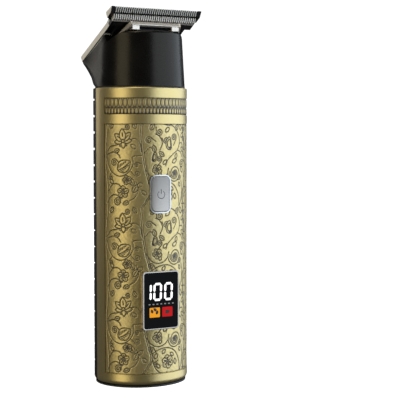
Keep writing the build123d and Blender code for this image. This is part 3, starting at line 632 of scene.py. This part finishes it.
def spiral(radius, turns, steps=46, tail=0.0):
    """A curl: the radius falls evenly with the turn from the rim to the middle."""
    t = np.linspace(0, 1, steps)
    r = radius * (1 - t) ** 0.9 + 0.12
    a = t * turns * 2 * math.pi
    line = np.stack([r * np.cos(a), r * np.sin(a)], axis=1)
    if tail:
        s = np.linspace(1, 0, 10)[:, None]
        line = np.concatenate([line[:1] + s * [0.35 * tail, -tail], line])
    return line


def ring(radius, steps=26, wave=0.0, lobes=0):
    """A closed round line whose radius may swell in lobes."""
    a = np.linspace(0, 2 * math.pi, steps)
    r = radius * (1 + wave * np.abs(np.sin(a * lobes / 2))) if lobes else radius + 0 * a
    return np.stack([r * np.cos(a), r * np.sin(a)], axis=1)


def even(line, gap=0.13):
    """The same line with its points at equal steps."""
    spread = np.concatenate([[0], np.cumsum(np.linalg.norm(np.diff(line, axis=0), axis=1))])
    at = np.linspace(0, spread[-1], max(4, int(spread[-1] / gap)))
    return np.stack([np.interp(at, spread, line[:, i]) for i in (0, 1)], axis=1)


def within(points, shape):
    """Which points a closed outline holds, by how often a level ray from each crosses the outline."""
    x, y = points[:, :1], points[:, 1:]
    x0, y0 = shape[:, 0], shape[:, 1]
    x1, y1 = np.roll(x0, -1), np.roll(y0, -1)
    meets = x0 + (x1 - x0) * (y - y0) / np.where(y1 == y0, 1.0, y1 - y0)
    return (((y0 > y) != (y1 > y)) & (x < meets)).sum(axis=1) % 2 == 1


def lay(lines, motif):
    """Adds a motif on top: each closed outline in it hides what lies under it."""
    for new in motif:
        new = even(new)
        if np.linalg.norm(new[0] - new[-1]) < 0.05:
            kept = []
            for line in lines:
                hidden = within(line, new)
                cuts = np.flatnonzero(np.diff(hidden.astype(int))) + 1
                runs = zip(np.split(line, cuts), np.split(hidden, cuts))
                kept += [run for run, under in runs if len(run) > 1 and not under[0]]
            lines = kept
        lines = lines + [new]
    return lines


def lotus(x, y, turn):
    """Five broad pointed petals over three hanging ones, the middle one in front; three are folded."""
    lines = []
    for lean, length, width, folded in (
        (2.5, 2.6, 1.8, 0), (-2.5, 2.6, 1.8, 0), (3.14, 3.1, 2.0, 0), (1.62, 4.0, 2.2, 0),
        (-1.62, 4.0, 2.2, 0), (0.85, 4.9, 2.6, 1), (-0.85, 4.9, 2.6, 1), (0.0, 5.2, 3.0, 1),
    ):
        lines.append(turned(petal(length, width), x, y, turn + lean))
        if folded:
            fold = np.linspace(length * 0.35, length * 0.66, 6)
            lines.append(turned(np.stack([0.12 * np.sin(fold), fold], axis=1), x, y, turn + lean))
    return lines + [turned(ring(0.7), x, y)]


def round_leaf(x, y, turn, size):
    """A round leaf with a bent middle vein and rows of short strokes."""
    bend = np.linspace(0, 1, 18)
    vein = np.stack([0.5 * np.sin(bend * 2.6), 0.4 + bend * 5.2], axis=1)
    lines = [petal(6.6, 5.2, 30), vein]
    for side in (-1, 1):
        for step in range(5):
            start = np.array([side * 0.75, 1.1 + step * 0.85])
            end = start + np.array([side * (0.9 - 0.14 * step), 0.55])
            lines.append(np.linspace(start, end, 5))
    return [turned(line, x, y, turn, size) for line in lines]


def blossom(x, y, petals, size, turn=0.0):
    """Round petals about an eye, each with a short fold."""
    lines = []
    for k in range(petals):
        a = turn + k * 2 * math.pi / petals
        spot = x - 1.3 * size * math.sin(a), y + 1.3 * size * math.cos(a)
        lines.append(turned(ring(0.95, 20, 0.1, 2), *spot, a, size))
        lines.append(turned(np.array([[0.0, 0.7], [0.1, 1.2], [0.0, 1.6]]), x, y, a, size))
    return lines + [turned(ring(0.6), x, y, 0, size), turned(ring(0.2, 10), x, y, 0, size)]


def paisley(x, y, turn, size, flip=1.0):
    """A teardrop with a hooked tip, an inner echo and an eye."""
    t = np.linspace(0, 1, 44)
    a = t * 2 * math.pi
    r = 2.1 * (1 - 0.35 * np.cos(a / 2))
    hook = 1.1 * np.exp(-((t - 0.5) * 5) ** 2)
    outer = np.stack([r * np.sin(a) * 0.85 + hook, 2.6 - 3.1 * np.cos(a)], axis=1)
    inner = outer * [0.62, 0.66] + [0.1, 0.75]
    eye = turned(spiral(0.9, 1.6, 24), x, y, turn, size * 0.9, flip)
    return [turned(outer, x, y, turn, size, flip), turned(inner, x, y, turn, size, flip), eye]


def smooth(*points, steps=9):
    """A Catmull-Rom line through the points."""
    p = np.array(points, dtype=float)
    p = np.concatenate([2 * p[:1] - p[1:2], p, 2 * p[-1:] - p[-2:-1]])
    t = np.linspace(0, 1, steps, endpoint=False)[:, None]
    parts = [
        0.5 * (2 * b + (c - a) * t + (2 * a - 5 * b + 4 * c - d) * t ** 2 + (3 * b - a - 3 * c + d) * t ** 3)
        for a, b, c, d in zip(p, p[1:], p[2:], p[3:])
    ]
    return np.concatenate(parts + [p[-2:-1]])


def sprays(stems, curls, leaves):
    """The smooth stems, curls and leaves of one motif, from tables in tenths."""
    motif = [smooth(*np.array(stem) / 10) for stem in stems]
    for x, y, radius, turns, lean, tail in np.array(curls) / 10:
        motif.append(turned(spiral(radius, turns, tail=tail), x, y, lean))
    return sum((leaf(*spot) for spot in np.array(leaves) / 10), motif)


def column(lines, x, lift, flip):
    """Adds the flower column of one side: a lotus, a round leaf on a curling stem, blossoms and curls. Its
    own axis is moved to x, raised by lift and mirrored by flip."""
    motif = sprays(COLUMN_STEMS, COLUMN_CURLS, COLUMN_LEAVES)
    motif += lotus(0.0, 28.0, 0.08) + round_leaf(-2.3, 15.6, -0.95, 1.02)
    motif += blossom(1.8, 11.6, 5, 0.85, 0.3) + blossom(0.0, 6.6, 5, 1.1)
    return lay(lines, [line * [flip, 1] + [x, lift] for line in motif])


def leaf(x, y, turn, length, width):
    """A small open leaf, with a vein when it is broad enough to hold one."""
    lines = [turned(petal(length * 1.15, width * 1.35, 14), x, y, turn)]
    if width > 1.25:
        lines.append(turned(np.stack([np.zeros(6), np.linspace(0.7, length * 0.8, 6)], axis=1), x, y, turn))
    return lines


def pattern_lines(period):
    """One repeat of the scroll pattern. A flower column stands at each side, a double stem winds by the
    middle, and S-stems, a great scroll and a broad leaf about a blossom fill the space between."""
    v = np.linspace(-0.05, 1.05, 90)
    lines = [
        np.stack([middle + sway * np.sin(2 * math.pi * v + start), v * period], axis=1)
        for middle, sway, start in ((-24.2, 0.7, 0.9), (24.3, 0.7, 4.0), (14.8, 1.3, 4.6), (15.3, 1.3, 4.6))
    ]
    lines = column([even(line) for line in lines], -16.4, 0.0, 1.0)
    lines = column(lines, 20.6, period * 0.42, -1.0)
    stem = smooth(
        (-8.6, 35.5), (-8.8, 31.5), (-8.1, 23.3), (-6.7, 14.9), (-4.7, 7.1), (-6.6, 2.9), (-8.6, 0.0)
    )
    motif = [stem, stem + [0.75, 0.0]] + sprays(FIELD_STEMS, FIELD_CURLS, FIELD_LEAVES)
    motif += [turned(spiral(4.0, 2.1, 80), 7.6, 14.4, 2.6), turned(spiral(2.9, 1.2, 60), 7.6, 14.4, 2.9)]
    motif += blossom(3.4, 4.9, 6, 1.25, 0.2) + blossom(-1.7, 15.9, 5, 0.95, 0.5) + blossom(7.4, 14.4, 5, 0.5)
    motif += paisley(5.0, 24.8, 0.35, 0.85) + paisley(-3.6, 19.8, -0.5, 0.62, -1)
    return lay(lines, motif)


def pattern_field(period, half, width, step=0.12):
    """How near each point of one repeat is to a line: 1 on the line, falling off as a bell curve."""
    across = np.arange(-half - 0.6, half + 0.6, step)
    up = np.arange(0, period, step)
    field = np.zeros((len(up), len(across)))
    for line in pattern_lines(period):
        for lift in (-period, 0.0, period):
            spot = line + [0, lift]
            x0, x1 = np.searchsorted(across, [spot[:, 0].min() - 0.6, spot[:, 0].max() + 0.6])
            y0, y1 = np.searchsorted(up, [spot[:, 1].min() - 0.6, spot[:, 1].max() + 0.6])
            if x0 >= x1 or y0 >= y1:
                continue
            near = np.full((y1 - y0, x1 - x0), 9.0)
            for part in np.array_split(spot, max(1, len(spot) // 40)):
                gx = across[x0:x1][None, :, None] - part[None, None, :, 0]
                gy = up[y0:y1][:, None, None] - part[None, None, :, 1]
                near = np.minimum(near, (gx * gx + gy * gy).min(axis=2))
            field[y0:y1, x0:x1] = np.maximum(field[y0:y1, x0:x1], np.exp(-near / (width * width)))
    return across, up, field


def sample(across, up, field, u, v):
    """The field between its grid points, repeating upwards."""
    step = across[1] - across[0]
    x = np.clip((u - across[0]) / step, 0, len(across) - 1.001)
    y = (v / step) % len(up)
    xi, yi = x.astype(int), y.astype(int)
    fx, fy = x - xi, y - yi
    y2 = (yi + 1) % len(up)
    low = field[yi, xi] * (1 - fx) + field[yi, xi + 1] * fx
    high = field[y2, xi] * (1 - fx) + field[y2, xi + 1] * fx
    return low * (1 - fy) + high * fy


def engraving(settings):
    """Depth and darkness of the large panel: lines cut down, with a softly beaten ground between."""
    bottom, top = settings.panel_low, settings.panel_high
    half = oval_length(settings.reach)[1][-1]
    across, up, field = pattern_field((top - bottom) / settings.repeats, half, settings.line)

    def height(along, rise):
        cut = sample(across, up, field, along, rise - bottom)
        beat = np.sin(along * 1.7 + 2 * np.sin(rise * 0.9)) * np.sin(rise * 1.5 + 2 * np.sin(along * 0.8))
        edge = np.minimum(half - np.abs(along), np.minimum(rise - bottom, top - rise))
        rim = np.exp(-((edge - 0.25) / 0.28) ** 2)
        # Patina in the cut lines, painted shade along the panel's edges, and a faint tone from the beaten
        # ground.
        dark = cut * 1.3 + rim * 0.8 + 0.03 + 0.05 * beat
        return cut * settings.depth + 0.02 * beat, np.clip(dark, 0, 1)

    return height


def band_relief(settings):
    """Two rows of upright ovals between thin lines: long ones above, short ones below, in dark ground."""
    low, high = settings.band_low, settings.band_high
    split = low + (high - low) * 0.42

    def ovals(along, rise, pitch, middle, half, shift):
        x = (along / pitch + shift) % 1.0 - 0.5
        r = (x * 2.35) ** 2 + ((rise - middle) / half) ** 2
        return np.clip(1 - r, 0, 1) ** 0.5, np.exp(-((np.sqrt(r) - 1.0) * 3.2) ** 2)

    def height(along, rise):
        upper, upper_line = ovals(along, rise, 2.05, (split + high) / 2, (high - split) / 2 - 0.25, 0.0)
        lower, lower_line = ovals(along, rise, 1.55, (split + low) / 2, (split - low) / 2 - 0.2, 0.3)
        stand = np.maximum(upper, lower)
        line = np.maximum(upper_line, lower_line)
        rule = sum(np.exp(-((rise - z) / 0.15) ** 2) for z in (low + 0.3, split, high - 0.3))
        aside = ((along / 2.05) % 1.0 - 0.5) * 2.05
        slit = np.exp(-((aside / 0.13) ** 2 + ((rise - (split + high) / 2) / ((high - split) * 0.28)) ** 4))
        deep = np.clip((split - rise) / (split - low), 0, 1)
        dark = line * 0.6 + 0.55 * rule + slit * 0.7 + (1 - stand) * (0.2 + 0.5 * deep) + 0.12 * deep
        return 0.22 * (1 - stand) + 0.08 * rule + 0.08 * slit, np.clip(dark, 0, 1)

    return height


def plates(name, outlines, y_face, thick, material):
    """Flat plates on the display, seen from the front: each outline in X and Z is carried back from y_face by
    thick, and all of them are one mesh."""
    points, faces, start = [], [], 0
    for outline in outlines:
        n = len(outline)
        front = np.stack([outline[:, 0], np.full(n, y_face), outline[:, 1]], axis=1)
        loop = start + np.arange(n)
        sides = np.stack([loop, np.roll(loop, -1), np.roll(loop, -1) + n, loop + n], axis=1)[:, ::-1]
        points += [front, front + [0, thick, 0]]
        faces += [loop.tolist(), (loop + n)[::-1].tolist()] + sides.tolist()
        start += 2 * n
    return make_piece(name, np.concatenate(points), faces, material, "trimmer", smooth=False)


def rounded(x0, x1, z0, z1, r, steps=6):
    """A rounded rectangle's outline, running so that its front faces -Y."""
    a = np.linspace(0, math.pi / 2, steps)
    corners = []
    for k, (cx, cz) in enumerate(((x1 - r, z1 - r), (x0 + r, z1 - r), (x0 + r, z0 + r), (x1 - r, z0 + r))):
        b = a + k * math.pi / 2
        corners.append(np.stack([cx + r * np.cos(b), cz + r * np.sin(b)], axis=1))
    return np.concatenate(corners)


def segment_bars(x, z, lit):
    """The lit bars of one seven-part figure: hexagon-ended strips, a to g, leaning by the slant."""
    width, half, thick = FIGURE_WIDTH, FIGURE_HEIGHT / 2, FIGURE_BAR
    bars = []
    for key in lit:
        aside, rise, upright = BAR_SPOTS[key]
        long = (half if upright else width) / 2 - thick * 0.12
        w = thick / 2
        bar = np.array([[long, 0], [long - w, w], [w - long, w], [-long, 0], [w - long, -w], [long - w, -w]])
        if upright:
            bar = np.stack([-bar[:, 1], bar[:, 0]], axis=1)
        bar = bar + [x + aside * width / 2, z + rise * half]
        bar[:, 0] += FIGURE_SLANT * (bar[:, 1] - z)
        bars.append(bar)
    return bars


def bead_line(name, path, radius, material, body):
    """A round bead carried along a path near the front face: each ring stands square to the path, and the
    first and the last are smaller."""
    sides = 10
    path = np.asarray(path)
    way = np.gradient(path, axis=0)
    way /= np.linalg.norm(way, axis=1)[:, None]
    out = np.tile([0.0, -1.0, 0.0], (len(path), 1))
    side = np.cross(way, out)
    side /= np.linalg.norm(side, axis=1)[:, None]
    out = np.cross(side, way)
    a = np.linspace(0, 2 * math.pi, sides, endpoint=False)
    taper = np.ones(len(path))
    taper[[0, -1]] = 0.45
    across, over = np.cos(a)[None, :, None], np.sin(a)[None, :, None]
    rings = across * side[:, None, :] + over * out[:, None, :]
    spots = path[:, None, :] + radius * taper[:, None, None] * rings
    last = (len(path) - 1) * sides
    ends = [list(range(sides)), list(range(last, last + sides))[::-1]]
    faces = tube_faces(len(path), sides) + ends
    return make_piece(name, spots.reshape(-1, 3), faces, material, body)


# ---- operators ---------------------------------------------------------------------------------
class TRIMMER_OT_stage(bpy.types.Operator):
    """Sets the camera, the pale floor and the soft studio lights"""

    bl_idname = "trimmer.stage"
    bl_label = "Stage"

    def execute(self, context):
        stage = context.scene.trimmer_stage
        data = bpy.data.cameras.new("camera")
        data.lens, data.sensor_width = stage.lens, 36.0
        data.clip_start, data.clip_end = 0.01, 20.0
        camera = show("camera", data)
        camera.location = stage.camera
        camera.rotation_euler = (math.pi / 2 - stage.tilt, 0.0, -stage.turn)
        context.scene.camera = camera
        context.scene.view_settings.view_transform = "Standard"
        self.floor()
        self.lights(context)
        return {"FINISHED"}

    def floor(self):
        """A pale bowl: a flat disc, a quarter bend and a wall, a profile turned about Z."""
        bend = np.linspace(0, math.pi / 2, 12)
        r = np.concatenate([[0.02, 0.5], FLOOR_REACH + FLOOR_BEND * np.sin(bend), [FLOOR_REACH + FLOOR_BEND]])
        z = np.concatenate([[0.0, 0.0], FLOOR_BEND * (1 - np.cos(bend)), [FLOOR_TOP]])
        turn = np.linspace(0, 2 * math.pi, 96, endpoint=False)
        rim = r[:, None] * np.stack([np.cos(turn), np.sin(turn)])[:, None, :]
        points = np.stack([rim[0], rim[1], np.broadcast_to(z[:, None], rim[0].shape)], axis=-1).reshape(-1, 3)
        mesh = bpy.data.meshes.new("floor")
        faces = tube_faces(len(r), len(turn)) + [list(range(len(turn)))]
        mesh.from_pydata(points.tolist(), [], faces)
        mesh.polygons.foreach_set("use_smooth", np.full(len(mesh.polygons), True))
        m = Maker("stage_paper")
        soft = m.noise(0.01)
        mesh.materials.append(m.set(
            Base_Color=m.mix(soft, grey(0.86), grey(0.9)), Roughness=0.9,
            Emission_Color=grey(1.0), Emission_Strength=FLOOR_GLOW,
        ))
        floor = show("floor", mesh)
        floor.visible_diffuse = floor.visible_glossy = False

    def lights(self, context):
        """A dim even sky, and each lamp of the list turned to the aim point."""
        world = bpy.data.worlds.new("studio")
        world.use_nodes = True
        sky = world.node_tree.nodes["Background"]
        sky.inputs["Color"].default_value = SKY_COLOUR
        sky.inputs["Strength"].default_value = SKY_STRENGTH
        context.scene.world = world
        turn = context.scene.trimmer_stage.turn
        for name, bearing, height, far, wide, tall, power, colour in LAMPS:
            light = bpy.data.lights.new(name, "AREA")
            light.shape, light.size, light.size_y, light.energy = "RECTANGLE", wide, tall, power
            light.color = colour
            lamp = show(name, light)
            a = math.radians(bearing) - turn
            lamp.location = (math.sin(a) * far, -math.cos(a) * far, height)
            aim = Vector(LAMP_AIM) - lamp.location
            lamp.rotation_euler = aim.to_track_quat("-Z", "Y").to_euler()


class TRIMMER_OT_finishes(bpy.types.Operator):
    """Gives every CAD node its material"""

    bl_idname = "trimmer.finishes"
    bl_label = "Finishes"

    def execute(self, context):
        materials = {
            "front_casing": brass_finish("antique_brass", context.scene.trimmer_colours, False),
            "display_lens": glass_finish("display_glass"),
            "power_button": button_finish("button_silver"),
            "fixed_blade": blade_finish("blade_steel", True),
            "blade_mount_plate": mount_finish("plate_steel"),
            "moving_blade": blade_finish("cutter_steel", False),
            "tension_bracket": brushed_finish(
                "bracket_chrome", (0.74, 0.68, 0.61), (0.9, 0.83, 0.75), 0.32, (0.15, 1, 1),
                (-BLADE_SLOPE, 0.0, 0.0), 0.1, 0.55,
            ),
            "rear_casing": plain_finish(
                "black_ribbed", grey(0.008), grey(0.014), 0.42, relief=0.3, Specular_IOR_Level=0.3
            ),
            "head_housing": plain_finish(
                "black_satin", grey(0.002), grey(0.004), 0.27, relief=0.1,
                Specular_IOR_Level=0.3, Specular_Tint=(1.0, 0.9, 0.8),
            ),
        }
        for table, finish in ((MOULDED, plain_finish), (GROUND, brushed_finish)):
            materials.update({node: finish(*row) for node, row in table.items()})
        screws = brushed_finish("screw_steel", (0.36, 0.36, 0.37), (0.62, 0.62, 0.63), 0.3, (1, 1, 0.4))
        materials.update({place + "_screws": screws for place in SCREWED})
        missing = set(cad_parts) - set(materials)
        if missing:
            raise RuntimeError("no finish for " + ", ".join(sorted(missing)))
        for name, material in materials.items():
            dress(name, material)
        return {"FINISHED"}


class TRIMMER_OT_panels(bpy.types.Operator):
    """Lays the engraved skins on the casing's recessed panels"""

    bl_idname = "trimmer.panels"
    bl_label = "Engraved panels"

    def execute(self, context):
        settings = context.scene.trimmer_engraving
        material = brass_finish("engraved_brass", context.scene.trimmer_colours, True)
        height = engraving(settings)
        turn = settings.reach - SEAM / HALF_WIDTH
        holes = [
            (low[0] + lap, high[0] - lap, low[2] + lap, high[2] - lap)
            for low, high, lap in ((BEZEL_LOW, BEZEL_HIGH, BEZEL_LAP), (RIM_LOW, RIM_HIGH, RIM_LAP))
        ]
        bottom, top = settings.panel_low, settings.panel_high
        middle = (bottom + top) / 2
        for name, low, high, walled in (
            ("engraved_panel_lower", bottom + SEAM, middle, (True, False)),
            ("engraved_panel_upper", middle, top - SEAM, (False, True)),
        ):
            relief(name, low, high, turn, settings.cell, height, material, holes, settings.face, walled)
        relief(
            "engraved_band", settings.band_low + SEAM, settings.band_high - SEAM, turn, settings.cell * 0.75,
            band_relief(settings), material, (), settings.face - 0.06,
        )
        return {"FINISHED"}


class TRIMMER_OT_display(bpy.types.Operator):
    """Makes the lit figures and tiles on the display's face"""

    bl_idname = "trimmer.display"
    bl_label = "Display figures"

    def execute(self, context):
        colours = context.scene.trimmer_colours
        face = LENS_LOW[1] - FIGURE_PROUD
        width, _, height = LENS_HIGH - LENS_LOW

        def at(u, v):
            return LENS_LOW[0] + u * width, LENS_HIGH[2] - v * height

        bars = []
        for u, lit in FIGURES:
            x, z = at(u, FIGURE_ROW)
            bars += segment_bars(x - (FIGURE_WIDTH / 2 if lit == "bc" else 0), z, lit)
        white = lit_finish("lit_white", tuple(colours.figure), 1.6)
        plates("display_figures", bars, face, FIGURE_THICK, white)
        ticks = []
        for k in range(TICK_COUNT):
            x, z = at(TICK_START + k * TICK_STEP, TICK_ROW)
            ticks.append(rounded(
                x - TICK_HALF_WIDTH, x + TICK_HALF_WIDTH, z - TICK_HALF_HEIGHT, z + TICK_HALF_HEIGHT, 0.1, 3
            ))
        plates("display_ticks", ticks, face, FIGURE_THICK, lit_finish("lit_dim", (0.55, 0.55, 0.56), 0.5))
        dark = plain_finish("tile_mark_black", (0.01, 0.008, 0.006), (0.03, 0.02, 0.015), 0.5)
        for name, left, right, colour in (
            ("amber_tile", 0.16, 0.465, colours.amber), ("red_tile", 0.535, 0.84, colours.red),
        ):
            x0, z1 = at(left, TILE_TOP)
            x1, z0 = at(right, TILE_FOOT)
            lit = lit_finish("lit_" + name, tuple(colour), 1.0)
            plates(name, [rounded(x0, x1, z0, z1, TILE_CORNER)], face, FIGURE_THICK, lit)
            x, z, half = (x0 + x1) / 2, (z0 + z1) / 2, (x1 - x0) / 2
            if name == "amber_tile":
                drop = petal(1.9, 1.25, 12)[:-1]
                marks = [turned(drop, x + aside * half, z + rise * half, lean) for aside, rise, lean in DROPS]
            else:
                marks = [
                    rounded(x - 1.0, x + 0.8, z - 0.75, z + 0.75, 0.2, 3),
                    rounded(x + 0.85, x + 1.15, z - 0.32, z + 0.32, 0.08, 3),
                ]
            plates(name + "_mark", marks, face - MARK_PROUD, MARK_THICK, dark)
        return {"FINISHED"}


class TRIMMER_OT_symbol(bpy.types.Operator):
    """Sets the power symbol on the button: an open ring and a bar"""

    bl_idname = "trimmer.symbol"
    bl_label = "Power symbol"

    def execute(self, context):
        material = plain_finish("symbol_grey", (0.15, 0.165, 0.19), (0.22, 0.235, 0.26), 0.4, 0.3)
        a = np.linspace(math.radians(RING_OPEN), math.radians(360 - RING_OPEN), 46)
        ring_line = np.stack(
            [RING_RADIUS * np.sin(a), BUTTON_MIDDLE + RING_RADIUS * np.cos(a) - RING_DROP], axis=1
        )
        rise = np.linspace(BUTTON_MIDDLE + BAR_FOOT, BUTTON_MIDDLE + BAR_HEAD, 12)
        bar_line = np.stack([np.zeros(12), rise], axis=1)
        for name, line in (("power_ring", ring_line), ("power_bar", bar_line)):
            y = BUTTON_FACE * np.sqrt(1 - (line[:, 0] / (HALF_WIDTH + 0.55)) ** 2)
            path = np.stack([line[:, 0], y + BEAD_SINK, line[:, 1]], axis=1)
            bead_line(name, path, BEAD_RADIUS, material, "button")
        return {"FINISHED"}


class TRIMMER_PT_panel(bpy.types.Panel):
    """Lists the trimmer's operators and settings"""

    bl_idname = "TRIMMER_PT_panel"
    bl_label = "Trimmer"
    bl_space_type = "VIEW_3D"
    bl_region_type = "UI"
    bl_category = "Trimmer"

    def draw(self, context):
        for operator in OPERATORS:
            self.layout.operator(operator.bl_idname)
        for group in (getattr(context.scene, name) for name in GROUPS):
            box = self.layout.box()
            for key in group.__annotations__:
                box.prop(group, key)


GROUPS = {
    "trimmer_engraving": TrimmerEngraving,
    "trimmer_colours": TrimmerColours,
    "trimmer_stage": TrimmerStage,
}
OPERATORS = (TRIMMER_OT_stage, TRIMMER_OT_finishes, TRIMMER_OT_panels, TRIMMER_OT_display, TRIMMER_OT_symbol)


def register():
    for name, group in GROUPS.items():
        bpy.utils.register_class(group)
        setattr(bpy.types.Scene, name, bpy.props.PointerProperty(type=group))
    for operator in OPERATORS:
        bpy.utils.register_class(operator)
    bpy.utils.register_class(TRIMMER_PT_panel)


def unregister():
    bpy.utils.unregister_class(TRIMMER_PT_panel)
    for operator in reversed(OPERATORS):
        bpy.utils.unregister_class(operator)
    for name, group in GROUPS.items():
        delattr(bpy.types.Scene, name)
        bpy.utils.unregister_class(group)


def main():
    register()
    bpy.ops.trimmer.stage()
    bpy.ops.trimmer.finishes()
    bpy.ops.trimmer.panels()
    bpy.ops.trimmer.display()
    bpy.ops.trimmer.symbol()


if __name__ == "__main__":
    main()
